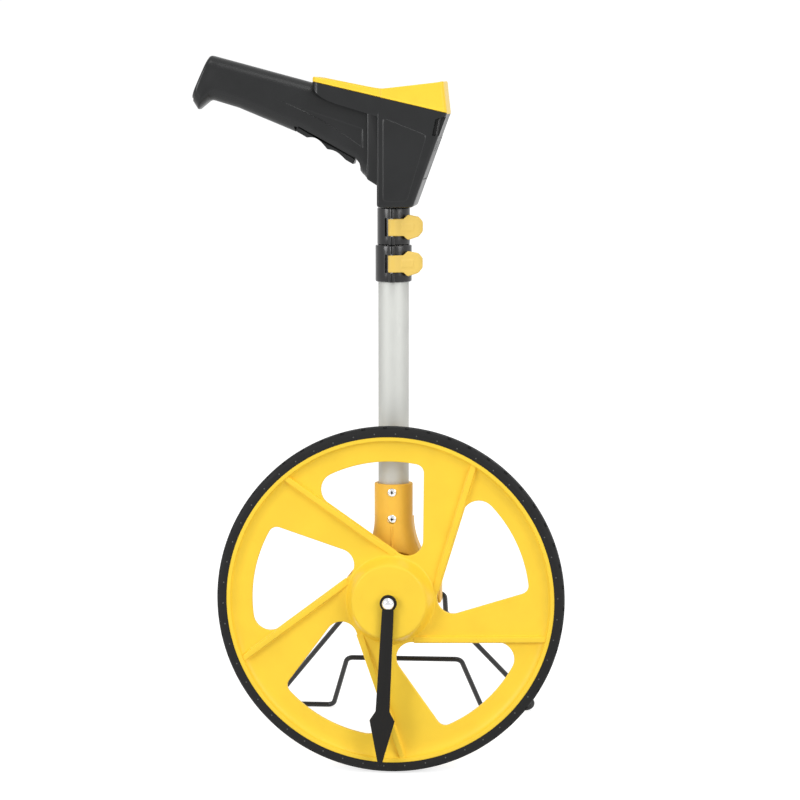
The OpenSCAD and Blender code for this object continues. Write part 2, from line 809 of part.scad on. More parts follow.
module lever(r, p) {
  a = 26;
  ri = r + swing_gap + 0.2;
  ro = ri + lever_t;
  e = (pad_x - ri * sin(a)) / cos(a);
  difference() {
    intersection() {
      union() {
        translate([0, -p, 0])
          cylinder(r = knuckle_r, h = 2 * pad_h, center = true);
        linear_extrude(2 * pad_h + 2, center = true)
          polygon(concat(arc([0, 0], ri, -90, -90 + a, 8),
            [for (x = [ri, ro]) [x * sin(a) + e * cos(a), -x * cos(a) + e * sin(a)]],
            arc([0, 0], ro, -90 + a, -90, 8)));
      }
      side(-50, 20)
        polygon(rounded([
          [-10, -stem_h, 0], [10.4, -stem_h, 1.5], [14.2, -pad_h, 2.5], [23.5, -pad_h + 3, 3.5],
          [pad_x, -4, 4], [pad_x, 5, 4], [23.5, pad_h - 2, 3.5], [14.2, pad_h, 2.5],
          [10.4, stem_h, 1.5], [-10, stem_h, 0]], 4));
    }
    translate([0, -p, -stem_h - 1])
      cylinder(r = lever_pin_d / 2 + run_fit, h = 2 * stem_h + 2);
  }
}
module lower_lever() {
  color(yellow)
    translate([0, tube_y, lever_z0]) lever(collar_r0, pin_p0);
}
module upper_lever() {
  color(yellow)
    translate([0, tube_y, lever_z1]) lever(collar_r1, pin_p1);
}

// head and handle: heights are over the head bottom
function split(x) = front_h + (front_top - x) * tan(split_a);
function grip_top(x) = grip_h - (x + grip_x) * tan(grip_top_a);
function front_x(h) = head_front + h * tan(front_a);
// spot below the front top corner and behind the front wall
function at_front(drop, back) = [front_x(front_h - drop) - back, front_h - drop];
module at_head() {
  translate([0, 0, head_z])
    children();
}
module head_outline(i) {
  polygon(rounded([[-head_rear + i, i, 3 - i * 0.7], [head_front - i * 0.7, i, 3 - i * 0.7],
    [front_x(front_h) - i * 1.06, front_h, 0], [front_x(front_h) - i * 1.06, reach, 0],
    [-head_rear + i, reach, 0]], 6));
}
module tray_outline(i) {
  polygon(rounded([[-tray_x + i, reach, 0], [-tray_x + i, split(-tray_x) - 3, 3],
    [-tray_x + 7 + i * 0.6, split(-tray_x + 7) - 13 + i, 6],
    [-head_rear + 8, split(-head_rear + 8) - 30.3 + i, 0], [-head_rear + 8, reach, 0]], 6));
}
module grip_outline(i) {
  polygon(rounded([[-20, grip_top(-20) - i, 0], [-grip_x + i, grip_top(-grip_x) - i, 3.5],
    [-grip_x - 17.6 + i, 98 - i * 0.2, 5], [-grip_x - 11 + i, 87.6 + i * 2.2, 1.2],
    [-grip_x + 0.6 + i * 0.4, 97.2 + i * 0.6, 7], [heel()[0], heel()[1] + i, 30],
    [finger()[0], finger()[1] + i, 20],
    [-34.4, 38.6 + i, 5], [-neck_x, 22.2 + i, 6], [-head_rear + 3, 13.4 + i, 0],
    [-head_rear + 3, 90, 0]], 6));
}
// underside of the handle between its two bends
function heel() = [-141, 89.6];
function finger() = [-86, 66.8];
// rounded bar along the handle, turned to lie under its top line
module grip_bar(w, r) {
  translate([-grip_x, tube_y, grip_top(-grip_x)])
    rotate([0, grip_top_a, 0])
      translate([-40, 0, 0])
        rotate([90, 0, 90])
          linear_extrude(reach)
            polygon(rounded([[-w / 2, 0, r], [w / 2, 0, r], [w / 2, -reach, 0],
              [-w / 2, -reach, 0]], 8));
}
// the same bar along the underside
module grip_keel(w, r) {
  d = finger() - heel();
  translate([heel()[0], tube_y, heel()[1]])
    rotate([0, -atan2(d[1], d[0]), 0])
      translate([-60, 0, 0])
        rotate([90, 0, 90])
          linear_extrude(reach)
            polygon(rounded([[-w / 2, reach, 0], [w / 2, reach, 0], [w / 2, 0, r], [-w / 2, 0, r]], 8));
}
// the front wall's bar rounds the two front edges of the head
module front_bar(w, r, o) {
  translate([head_front - o, tube_y, 0])
    rotate([0, front_a, 0])
      linear_extrude(2 * reach, center = true)
        polygon(rounded([[0, -w / 2, r], [0, w / 2, r], [-reach, w / 2, 0], [-reach, -w / 2, 0]], 8));
}
module under_seat() {
  side(head_yn - 1, head_yf + 1)
    polygon([[-reach, split(-reach)], [reach, split(reach)], [reach, -reach], [-reach, -reach]]);
}
module grip_solid(i) {
  y0 = head_yn + i;
  y1 = head_yf - i;
  intersection() {
    union() {
      intersection() {
        side(y0, y1) head_outline(i);
        front_bar(head_w - 2 * i, front_r - i, i * 1.06);
      }
      intersection() {
        side(y0, y1) tray_outline(i);
        tray_taper(i);
      }
      intersection() {
        side(tube_y - grip_w / 2 + i, tube_y + grip_w / 2 - i) grip_outline(i);
        grip_bar(grip_w - 2 * i, grip_r - i);
        union() {
          grip_keel(grip_w - 2 * i, grip_r - i);
          translate([heel()[0] - 13 - reach, head_yn, 0])
            cube([reach, head_w, reach]);
          translate([finger()[0] + 2, head_yn, 0])
            cube([reach, head_w, reach]);
        }
      }
      side(tube_y - neck_w / 2 + i, tube_y + neck_w / 2 - i)
        polygon([[-neck_x + i, 22.6 + i], [-head_rear + 3, 14 + i], [-head_rear + 3, front_h],
          [-neck_x + i, front_h]]);
    }
    union() {
      under_seat();
      side(tube_y - grip_w / 2, tube_y + grip_w / 2)
        polygon([[-reach, 0], [-tray_x - 0.6, 0], [-tray_x - 0.6, reach], [-reach, reach]]);
    }
  }
}
module tray_taper(i) {
  w = head_w / 2 - i;
  translate([-tray_x, tube_y, split(-tray_x)])
    rotate([0, split_a, 0])
      rotate([90, 0, 90])
        linear_extrude(80)
          polygon([[-w, 30], [w, 30], [w, -8], [w - 14, -34 + i], [-w + 14, -34 + i], [-w, -8]]);
}
module grip_cuts() {
  // tube
  translate([0, tube_y, -1])
    cylinder(r = inner_r, h = tube_in + 1);
  // battery opening in the front wall
  battery_place()
    cube([4 * shell_t, door_w, door_l], center = true);
  // trigger gap
  side(head_yn, head_yf)
    polygon([[-89, 60], [-89, 69.4], [-85.4, 72.8], [-34.9, 44.9], [-32.6, 41.6], [-35, 30],
      [-60, 20]]);
  // room inside the walls for the trigger
  translate([trigger_pivot()[0], 0, trigger_pivot()[1]])
    side(tube_y - trigger_w / 2 - swing_gap, tube_y + trigger_w / 2 + swing_gap)
      polygon([[-6.5, -15.5], [-6.5, 4.5], [6.5, 4.5], [49, -23.5], [49, -35.5]]);
  // strap notch in both front top corners
  for (s = [-1, 1])
    translate([0, tube_y + s * head_w / 2, 0])
      side(-strap_in, strap_in) strap_outline(0);
  strap_rods();
  translate([trigger_pivot()[0], 0, trigger_pivot()[1]])
    rod_y(trigger_pin_d / 2, head_yn, head_yf);
  for (p = screw_at())
    translate([p[0], 0, p[1]]) {
      rod_y(shell_screw_d / 2, tube_y - 12, head_yf + 1);
      rod_y(shell_screw_d, tube_y + p[2] - 3.2, head_yf + 1);
    }
}
function trigger_pivot() = [-82.5, 75.5];
// shell screws: place and half width of the shells there
function screw_at() = let (g = grip_w / 2, h = head_w / 2 - 1)
  [[-grip_x + 17, grip_top(-grip_x + 17) - 20.8, g], [-grip_x + 63, grip_top(-grip_x + 63) - 24.5, g],
    [-48, 77, g], [head_front - 2.1, 11, h], concat(at_front(5.3, 22.4), h)];
module battery_place() {
  translate([front_x(door_z), tube_y, door_z])
    rotate([0, front_a, 0])
      children();
}
// strap notch, or its pocket wall with o
module strap_outline(o) {
  polygon([at_front(18.3 + o, 6 + o), at_front(4.8 - o, 8.1 + o), at_front(2.7 - o, 0.7 - o),
    at_front(14.3, -6), at_front(20.3 + o, 0)]);
}
module strap_rods() {
  p = at_front(21.8, 1.75);
  for (s = [-1, 1])
    translate([p[0], tube_y + s * (head_w / 2 - 2.6), p[1]])
      rotate([0, 11, 0])
        cylinder(d = 2, h = 20.5);
}
module switch_place() {
  translate([-61, tube_y, 64.6])
    rotate([0, 29.4, 0])
      children();
}
// inside the shells: screw posts, strap pockets, tube socket and clamps of the trigger switch
module posts() {
  for (s = [-1, 1])
    translate([0, tube_y + s * head_w / 2, 0])
      side(-strap_in - shell_t, strap_in + shell_t) strap_outline(shell_t);
  for (p = screw_at())
    translate([p[0], 0, p[1]])
      rod_y(3.6, tube_y - p[2] + 1.2, tube_y + p[2] - 1.2);
  translate([0, tube_y, 0])
    cylinder(r = inner_r + shell_t, h = tube_in);
  for (s = [0, 180])
    switch_place()
      translate([switch_l / 2, 0, switch_h - 2])
        rotate([0, 0, s])
          rod_y(2, switch_w / 2, grip_w / 2 - 1.2);
}
module shell(s) {
  color(black)
    at_head()
      difference() {
        intersection() {
          union() {
            difference() {
              grip_solid(0);
              grip_solid(shell_t);
              side(head_yn + shell_t, head_yf - shell_t)
                polygon([[-tray_x + 2 * shell_t, split(-tray_x) - 4], [-head_rear, split(0) - 14],
                  [front_x(front_h) - 12, front_h - 12], [front_x(front_h) - 4, front_h + 2],
                  [-tray_x + 2 * shell_t, split(-tray_x) + 4]]);
            }
            intersection() {
              posts();
              grip_solid(0.4);
            }
          }
          translate([-reach, tube_y + (s < 0 ? -reach : 0), -reach])
            cube([2 * reach, reach, 2 * reach]);
        }
        grip_cuts();
      }
}
module shell_near() {
  shell(-1);
}
module shell_far() {
  shell(1);
}
module shell_screws() {
  color(steel)
    at_head()
      for (p = screw_at())
        translate([p[0], 0, p[1]]) {
          rod_y(shell_screw_d / 2, tube_y - 8, tube_y + p[2] - 3.2);
          rod_y(shell_screw_d - 0.1, tube_y + p[2] - 3.2, tube_y + p[2] - 1.6);
        }
}
module strap_bar() {
  color(steel)
    at_head()
      strap_rods();
}

// bezel with display and keys
function key_line(x) = let (x0 = -tray_x + 4.5, h0 = split(x0) + bezel_rear_h)
  let (x1 = -valley_x, h1 = split(x1) + valley_h)
  h0 + (h1 - h0) * (x - x0) / (x1 - x0);
key_a = -atan2(key_line(0) - key_line(-10), 10);
hood_x = front_top - 2.6;
hood_top = front_h + hood_h;
lcd_a = atan2(hood_top + 0.6 - key_line(-valley_x), hood_x + valley_x);
function lcd_line(x) = key_line(-valley_x) + (x + valley_x) * tan(lcd_a);
module bezel_outline(drop) {
  polygon(rounded([[-tray_x, split(-tray_x) - drop, 0], [-tray_x + 4.5, key_line(-tray_x + 4.5), 2.5],
    [-valley_x, key_line(-valley_x), 1.5], [hood_x, lcd_line(hood_x), 1.5],
    [front_top, front_h - drop, 0]], 5));
}
module bezel_hollow() {
  t = bezel_t;
  polygon([[-tray_x + 8, split(-tray_x + 8) - 1], [-tray_x + 9, key_line(-tray_x + 9) - t],
    [-valley_x - 0.4, key_line(-valley_x) - t], [hood_x - 3, lcd_line(hood_x - 3) - t - 1],
    [front_top - 3.4, front_h - 1 + 3.4 * tan(split_a)]]);
}
// places children on the key plane, centred under the keys
module on_keys() {
  x = -(tray_x - 4.5 + valley_x) / 2;
  translate([x, tube_y, key_line(x)])
    rotate([0, key_a, 0])
      children();
}
module on_lcd() {
  x = (hood_x - valley_x) / 2 - 0.5;
  translate([x, tube_y, lcd_line(x)])
    rotate([0, -lcd_a, 0])
      children();
}
function key_spot() = [[-12.5, -11.5], [-12.5, 11.5], [9.5, 0]];
// posts under the bezel that carry the main board
module board_posts() {
  for (x = [6, board_l - 6], s = [-1, 1])
    on_board()
      translate([x, s * (lcd_w / 2 + 2.2), main_board_t])
        cylinder(r = 2, h = hood_h);
}
module display_bezel() {
  color(yellow)
    at_head()
      difference() {
        union() {
          difference() {
            bezel_block();
            side(head_yn + shell_t, head_yf - shell_t) bezel_hollow();
          }
          intersection() {
            board_posts();
            side(head_yn, head_yf) bezel_outline(board_drop);
          }
        }
        on_keys()
          translate([-23, -23, -key_sink])
            cube([45, 46, 10]);
        for (k = key_spot())
          on_keys()
            translate([k[0], k[1], -10])
              cylinder(d = key_d + 2 * swing_gap, h = 20);
        on_lcd()
          translate([-lcd_l / 2 - 2, -lcd_w / 2 - 2, -2 * window_t])
            cube([lcd_l + 4, lcd_w + 4, 20]);
        on_lcd()
          translate([-lcd_l / 2, -lcd_w / 2, -12])
            cube([lcd_l, lcd_w, 20]);
      }
}
module bezel_block() {
  intersection() {
    side(head_yn, head_yf) bezel_outline(0);
    front_bar(head_w, front_r, -4.2);
  }
}
module display_window() {
  color([0.75, 0.80, 0.82, 0.6])
    at_head()
      on_lcd()
        translate([-lcd_l / 2 - 2, -lcd_w / 2 - 2, -2 * window_t])
          cube([lcd_l + 4, lcd_w + 4, window_t]);
}
module lcd_panel() {
  color([0.55, 0.62, 0.50])
    at_head()
      on_lcd()
        translate([-lcd_l / 2 + 0.4, -lcd_w / 2 + 0.4, -2 * window_t - lcd_t])
          cube([lcd_l - 0.8, lcd_w - 0.8, lcd_t]);
}
module on_board() {
  x = -tray_x + 9.5;
  translate([x, tube_y, split(x) - board_drop])
    rotate([0, split_a, 0])
      children();
}
module main_board() {
  color(green)
    at_head()
      on_board()
        translate([0, -main_board_w / 2, 0])
          cube([board_l, main_board_w, main_board_t]);
}
// key with a flange under the bezel and a stem down to the board
module key(i) {
  k = key_spot()[i];
  color(black)
    at_head()
      on_keys()
        translate([k[0], k[1], 0]) {
          translate([0, 0, -bezel_t - key_play])
            cylinder(d = key_d, h = bezel_t + key_play - key_sink + key_h);
          translate([0, 0, -bezel_t - key_play - 1])
            cylinder(d = key_d + 3, h = 1);
          translate([0, 0, -key_stem])
            cylinder(d = 4, h = key_stem - bezel_t);
        }
}
module key_power() {
  key(0);
}
module key_unit() {
  key(1);
}
module key_hold() {
  key(2);
}

// power
module batteries() {
  color(steel)
    at_head()
      for (i = [-1:1])
        battery_place()
          translate([-cell_in, 0, i * cell_pitch])
            rotate([90, 0, 0])
              cylinder(d = cell_d, h = cell_l, center = true);
}
// plate on each side wall of the head with a stud for each battery
module battery_contacts() {
  w = head_w / 2 - shell_t;
  color(steel)
    at_head()
      for (s = [0, 1])
        battery_place()
          mirror([0, s, 0])
            translate([-cell_in, 0, 0]) {
              for (i = [-1:1])
                translate([0, 0, i * cell_pitch])
                  rod_y(2.6, cell_l / 2, w);
              translate([-4, w - 0.8, -cell_pitch - 4])
                cube([8, 0.8, 2 * cell_pitch + 8]);
            }
}
module battery_door() {
  color(black)
    at_head()
      battery_place()
        translate([-shell_t, -door_w / 2 + door_gap, -door_l / 2 + door_gap])
          cube([shell_t - 0.2, door_w - 2 * door_gap, door_l - 2 * door_gap]);
}

// trigger in the underside of the handle, with a hollow for each of two fingers
function scallop(t, a, b, d) = t > a && t < b ? d * sin(180 * (t - a) / (b - a)) : 0;
module trigger_outline() {
  p = trigger_pivot();
  polygon(concat(arc(p, 5.5, 150, 60, 6),
    [[-62, 68], [-42, 56.5], [-36.2, 50], [-34.6, 43.6]],
    [for (i = [0:24]) let (t = i / 24)
      [-36 - 51 * t, 38.8 + 29.2 * t + scallop(t, 0.13, 0.46, 2.4) + scallop(t, 0.46, 0.82, 4)]],
    [[-88, 70]]));
}
module trigger() {
  color(black)
    at_head()
      difference() {
        side(tube_y - trigger_w / 2, tube_y + trigger_w / 2) trigger_outline();
        translate([trigger_pivot()[0], 0, trigger_pivot()[1]])
          rod_y(trigger_pin_d / 2 + run_fit, head_yn, head_yf);
        side(tube_y - trigger_w / 2 + 3, tube_y + trigger_w / 2 - 3)
          polygon([[-76, 78], [-76, 69], [-44, 51], [-38, 51], [-38, 78]]);
      }
}
module trigger_pin() {
  p = trigger_pivot();
  color(steel)
    at_head()
      translate([p[0], 0, p[1]])
        rod_y(trigger_pin_d / 2, tube_y - grip_w / 2 + 0.4, tube_y + grip_w / 2 - 0.4);
}
module trigger_switch() {
  color(black)
    at_head()
      switch_place()
        translate([0, -switch_w / 2, 0])
          cube([switch_l, switch_w, switch_h]);
}

parked() axle_bracket();
parked() axle();
parked() axle_cap();
parked() axle_nut();
parked() hub_spacers();
parked() sensor_board();
parked() outer_tube();
parked() socket_screws();
parked() lower_collar();
parked() lower_lever_pin();
parked() wheel_disc();
parked() tyre();
parked() wheel_bearings();
parked() bearing_sleeve();
parked() magnet_ring();
parked() pointer();
parked() stand_wire();
parked() lower_lever();
parked() upper_lever();
parked() middle_tube();
parked() middle_plug();
parked() upper_collar();
parked() upper_lever_pin();
parked() inner_tube();
parked() inner_plug();
parked() shell_near();
parked() shell_far();
parked() display_bezel();
parked() display_window();
parked() lcd_panel();
parked() main_board();
parked() batteries();
parked() battery_contacts();
parked() battery_door();
parked() shell_screws();
parked() strap_bar();
parked() trigger_pin();
parked() trigger_switch();
parked() trigger();
parked() key_power();
parked() key_unit();
parked() key_hold();
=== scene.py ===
import json
import math
from typing import NamedTuple

import bmesh
import bpy
import numpy as np
from bpy.props import FloatProperty, FloatVectorProperty, PointerProperty
from bpy.types import Operator, Panel, PropertyGroup
from mathutils import Matrix


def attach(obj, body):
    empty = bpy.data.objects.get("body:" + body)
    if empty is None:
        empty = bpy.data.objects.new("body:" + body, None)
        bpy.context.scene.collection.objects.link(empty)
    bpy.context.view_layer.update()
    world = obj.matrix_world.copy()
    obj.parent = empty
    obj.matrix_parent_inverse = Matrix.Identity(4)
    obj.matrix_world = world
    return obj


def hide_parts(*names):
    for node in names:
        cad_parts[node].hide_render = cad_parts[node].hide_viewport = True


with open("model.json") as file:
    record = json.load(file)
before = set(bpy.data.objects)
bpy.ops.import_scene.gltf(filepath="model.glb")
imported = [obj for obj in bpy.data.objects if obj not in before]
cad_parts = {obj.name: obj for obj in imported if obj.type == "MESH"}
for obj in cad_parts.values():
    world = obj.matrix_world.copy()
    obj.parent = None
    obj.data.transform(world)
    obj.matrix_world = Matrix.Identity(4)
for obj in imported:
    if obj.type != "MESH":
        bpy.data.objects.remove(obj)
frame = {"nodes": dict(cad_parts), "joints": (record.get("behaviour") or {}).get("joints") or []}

bl_info = {
    "name": "Measuring wheel",
    "version": (1, 0, 0),
    "blender": (4, 2, 0),
    "location": "3D View > Sidebar > Measuring wheel",
    "description": "Builds the visible surfaces of a digital measuring wheel on its CAD frame",
    "category": "Object",
}

# The surfaces are worked out in millimetres, with the tube upright: X is the way
# the wheel rolls, Y goes along the axle away from the pointer and Z up the tube.
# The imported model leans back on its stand, so its axle gives the way there.
SPIN = next(j for j in frame["joints"] if j["name"] == "wheel_spin")
AXLE = np.array(SPIN["pos_m"])
AXIS = np.array(SPIN["axis"]) / np.linalg.norm(SPIN["axis"])
ALONG = np.array((1.0, 0.0, 0.0))
BASIS = np.stack([ALONG, AXIS, np.cross(ALONG, AXIS)])


def placed(points):
    """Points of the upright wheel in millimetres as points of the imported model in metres."""
    return AXLE + 0.001 * np.asarray(points) @ BASIS


# Properties


def length(name, mm, description):
    """A length property whose default is given in millimetres."""
    return FloatProperty(
        name=name, description=description, default=mm * 0.001, unit="LENGTH", precision=5
    )


def linear(code):
    """Linear colour of an sRGB hex code."""
    c = np.array([int(code[i : i + 2], 16) for i in (0, 2, 4)]) / 255
    return (*np.where(c <= 0.04045, c / 12.92, ((c + 0.055) / 1.055) ** 2.4).tolist(), 1.0)


def colour(name, code, description):
    """A colour property whose default is an sRGB hex code."""
    return FloatVectorProperty(
        name=name, description=description, subtype="COLOR", min=0, max=1, default=linear(code)[:3]
    )


class MM:
    """The lengths of a property group in millimetres."""

    def __init__(self, group):
        self.group = group

    def __getattr__(self, name):
        return 1000.0 * getattr(self.group, name)


class WheelSizes(PropertyGroup):
    radius: length("Radius", 159.15, "Outside radius of the tyre")
    width: length("Tyre width", 16.4, "Width of the tyre")
    shoulder: length("Shoulder", 4.8, "Rounding of the tyre's shoulders")
    seat: length("Seat", 149.05, "Radius of the rim under the tyre")
    lip: length("Lip", 150.1, "Radius of the rim's lips")
    wall: length("Rim wall", 146.4, "Inside radius of the rim")
    web_front: length("Web front", 2.0, "Front of the web before the middle")
    web_rear: length("Web rear", 2.6, "Rear of the web behind the middle")
    boss: length("Boss", 41.0, "Radius of the hub boss")
    boss_front: length("Boss front", 17.5, "Front of the boss before the middle")
    window: length("Window", 127.0, "Outer radius of the windows")
    rib_edge: length("Rib edge", 39.5, "Distance of a window's rib edge from the axle")
    low_edge: length("Low edge", 29.4, "Distance of a window's other edge from the axle")


class TubeSizes(PropertyGroup):
    depth: length("Tube depth", 33.0, "Tube axis behind the middle of the tyre")
    outer: length("Outer tube", 14.0, "Radius of the outer tube")
    middle: length("Middle tube", 12.5, "Radius of the middle tube")
    inner: length("Inner tube", 11.0, "Radius of the inner tube")
    wall: length("Tube wall", 1.2, "Wall of the tubes")
    lower_collar: length("Lower collar", 16.6, "Radius of the lower collar")
    upper_collar: length("Upper collar", 14.9, "Radius of the upper collar")
    bead: length("Bead", 3.0, "Radius of the bead round a lever's pin")
    lever: length("Lever", 3.2, "Thickness of the levers")
    wire: length("Stand wire", 2.4, "Radius of the stand's wire")


class HeadSizes(PropertyGroup):
    base: length("Base", 357.2, "Underside of the head above the axle")
    half_width: length("Half width", 28.0, "Half the width of the head")
    rear: length("Rear", 12.9, "Rear wall behind the tube axis")
    front: length("Front", 19.6, "Front wall before the tube axis, at the underside")
    front_height: length("Front height", 84.9, "Height of the front wall")
    tray: length("Tray", 71.5, "Rear end of the key tray behind the tube axis")
    grip: length("Grip", 17.0, "Half the width of the handle")
    grip_round: length("Grip rounding", 12.0, "Rounding of the handle's edges")
    neck: length("Neck", 21.0, "Half the width of the neck between head and handle")
    parting: length("Parting line", 0.2, "Gap between the two shells")


class Finish(PropertyGroup):
    moulded_yellow_abs: colour("Yellow ABS", "FFD640", "Wheel and bezel")
    satin_yellow_abs: colour("Satin yellow ABS", "EFCB66", "Levers")
    moulded_amber_abs: colour("Amber ABS", "FFC950", "Axle bracket")
    vulcanised_rubber: colour("Rubber", "1A1A1A", "Tyre")
    # paler than the tyre's rubber: a painted highlight on the vent nubs
    nub_highlight_rubber: colour("Nub highlight rubber", "5C5C5A", "Vent nubs of the tyre")
    textured_black_abs: colour("Black ABS", "191A1B", "Head, handle, trigger and door")
    # lighter than the pointer's nylon: a painted sheen on the collars
    glass_filled_nylon_with_painted_sheen: colour("Black nylon", "222223", "Collars and plugs")
    matt_black_nylon: colour("Matt black nylon", "181716", "Pointer")
    silicone_rubber: colour("Key rubber", "38393A", "Keys")
    painted_steel_wire: colour("Wire paint", "151516", "Stand and strap bars")
    zinc_plated_steel: colour("Zinc plate", "B9BBBE", "Shafts, pins and screws")
    # the trigger pin's own blackened steel; on the screws' crosses the same colour is painted shade
    blackened_steel_and_recess_shade: colour("Blackened steel", "1B1A1A", "Driver recesses and trigger pin")
    chrome_plate: colour("Chrome", "E6E7E8", "Cap and socket screws")
    anodised_aluminium: colour("Aluminium", "C9CAC6", "Tubes")
    solder_mask: colour("Solder mask", "1E6B3A", "Circuit boards")
    display_glass: colour("Display", "93A189", "Display panel")
    clear_acrylic: colour("Acrylic", "F2F5F5", "Display window")
    lacquered_cell: colour("Cell lacquer", "3B4A5C", "Batteries")


class Settings(PropertyGroup):
    wheel: PointerProperty(type=WheelSizes)
    tube: PointerProperty(type=TubeSizes)
    head: PointerProperty(type=HeadSizes)
    finish: PointerProperty(type=Finish)


# Surfaces

# vertices closer than this many metres are one
WELD = 2e-6


def unit(v):
    """Vectors brought to length one."""
    return v / np.linalg.norm(v, axis=-1, keepdims=True)


def direction(degrees):
    """Unit vector in X and Z."""
    a = math.radians(degrees)
    return np.array((math.cos(a), math.sin(a)))


def swung(points, degrees):
    """Points in X and Z turned about the axle."""
    c, s = direction(degrees)
    return points @ np.array([(c, s), (-s, c)])


def smooth(x):
    """Step from 0 to 1 with level ends."""
    x = np.clip(x, 0, 1)
    return x * x * (3 - 2 * x)


def joined(*arrays):
    """Arrays side by side along a new last axis, each stretched to the shape of all."""
    return np.stack(np.broadcast_arrays(*arrays), -1)


def rounding(r, n):
    """Inset r (1 - sin f) and depth r (1 - cos f) in n + 1 steps of a rounded edge, from its face on."""
    f = np.linspace(0, np.pi / 2, n + 1)
    return r * (1 - np.sin(f)), r * (1 - np.cos(f))


def circle(n):
    """n angles of a full turn."""
    return np.linspace(0, 2 * np.pi, n, endpoint=False)


def arc(centre, r, a0, a1, n):
    """n + 1 points of a circle from angle a0 to a1 in degrees."""
    f = np.radians(np.linspace(a0, a1, n + 1))
    return np.array(centre) + r * joined(np.cos(f), np.sin(f))


def corner_arcs(before, at, after, n):
    """Arcs of n + 1 points that round the corners at (x, y, radius) and touch both sides."""
    p, r = at[:, :2], np.maximum(at[:, 2:], 0.05)
    a, b = unit(before[:, :2] - p), unit(after[:, :2] - p)
    half = 0.5 * np.arccos(np.clip((a * b).sum(1, keepdims=True), -1, 1))
    centre = p + unit(a + b) * r / np.sin(half)
    s, e = p + a * r / np.tan(half) - centre, p + b * r / np.tan(half) - centre
    turn = np.arctan2(s[:, 0] * e[:, 1] - s[:, 1] * e[:, 0], (s * e).sum(1))
    f = np.arctan2(s[:, 1], s[:, 0])[:, None] + turn[:, None] * np.linspace(0, 1, n + 1)
    arcs = centre[:, None] + r[:, None] * joined(np.cos(f), np.sin(f))
    return arcs.reshape(-1, 2)


def rounded(corners, n=6):
    """Closed outline of corners (x, y, radius)."""
    c = np.array(corners, float)
    return corner_arcs(np.roll(c, 1, 0), c, np.roll(c, -1, 0), n)


def bent(corners, n=8):
    """Open line of corners (x, y, radius) with its bends rounded."""
    c = np.array(corners, float)
    return np.concatenate([c[:1, :2], corner_arcs(c[:-2], c[1:-1], c[2:], n), c[-1:, :2]])


def quads(n, m, wrap_n=False, wrap_m=False):
    """Faces of a grid of n rows and m columns of vertices, wrapped where asked."""
    i = np.arange(n if wrap_n else n - 1)[:, None]
    j = np.arange(m if wrap_m else m - 1)[None, :]
    i2, j2 = (i + 1) % n, (j + 1) % m
    return joined(i * m + j, i * m + j2, i2 * m + j2, i2 * m + j).reshape(-1, 4)


def sheet(grid, wrap_n=False, wrap_m=False):
    """Surface through a grid of points. A shape is its points and a list of arrays of faces."""
    n, m, _ = grid.shape
    return grid.reshape(-1, 3), [quads(n, m, wrap_n, wrap_m)]


def capped(grid):
    """Surface through closed rows of points, with a face over the first and the last row."""
    n, m, _ = grid.shape
    ends = np.arange(m) + np.array([(0,), ((n - 1) * m,)])
    return grid.reshape(-1, 3), [quads(n, m, wrap_m=True), ends]


def offset(outline, d):
    """The closed outline set in by each distance of d, along the line that halves each corner. The
    limit keeps a sharp corner from running far out."""
    limit = 0.4
    e = unit(np.roll(outline, -1, 0) - outline)
    x, z = outline.T
    side = np.sign(np.sum(x * np.roll(z, -1) - z * np.roll(x, -1)))
    n = side * np.stack([-e[:, 1], e[:, 0]], 1)
    b = n + np.roll(n, 1, 0)
    b = b * 2 / np.maximum((b * b).sum(1, keepdims=True), limit)
    return outline + np.asarray(d)[:, None, None] * b


def plate(outline, y0, y1, r0=0.6, r1=None, n=4):
    """Outline in X and Z filled from y0 to y1, with rounded edges. The rounding at y1 goes the other
    way, so that its inset and depth change places."""
    (in0, deep0), (deep1, in1) = rounding(r0, n), rounding(r0 if r1 is None else r1, n)
    p = offset(outline, np.concatenate([in0, in1]))
    y = np.concatenate([y0 + deep0, y1 - deep1])
    return capped(joined(p[..., 0], y[:, None], p[..., 1]))


def turned(profile, angles, closed=False):
    """Profile of (radius, depth) turned about the axle: x = r cos t, y = depth, z = r sin t. A closed
    profile goes on from its end to its start."""
    r, y = np.array(profile, float).T
    t = np.asarray(angles)[:, None]
    grid = joined(r * np.cos(t), y, r * np.sin(t))
    return sheet(grid, wrap_n=True, wrap_m=closed)


def ring(bore, r, y0, y1, edges, n, angles):
    """Ring about the axle between two radii and two depths, with its four edges rounded in the order
    of the corners."""
    corners = [(bore, y0), (r, y0), (r, y1), (bore, y1)]
    section = rounded([(*corner, edge) for corner, edge in zip(corners, edges)], n)
    return turned(section, angles, closed=True)


def rectangle(x, z, r, n=6):
    """Outline of a rectangle about the middle with rounded corners, from half its width and height."""
    return rounded([(-x, -z, r), (x, -z, r), (x, z, r), (-x, z, r)], n)


def moved(shape, by):
    """A shape moved by a vector."""
    points, faces = shape
    return points + by, faces


def stood(shape, at):
    """A shape turned about the axle, stood up along Z at a place."""
    points, faces = shape
    return points[:, [0, 2, 1]] + at, faces


def wire(path, normal, r, n=20):
    """Round wire along a flat path: p + r (cos a side + sin a normal), side being across the path."""
    t = unit(np.gradient(path, axis=0))
    a = circle(n)[None, :, None]
    side = unit(np.cross(normal, t))[:, None]
    return capped(path[:, None] + r * (np.cos(a) * side + np.sin(a) * np.asarray(normal)))


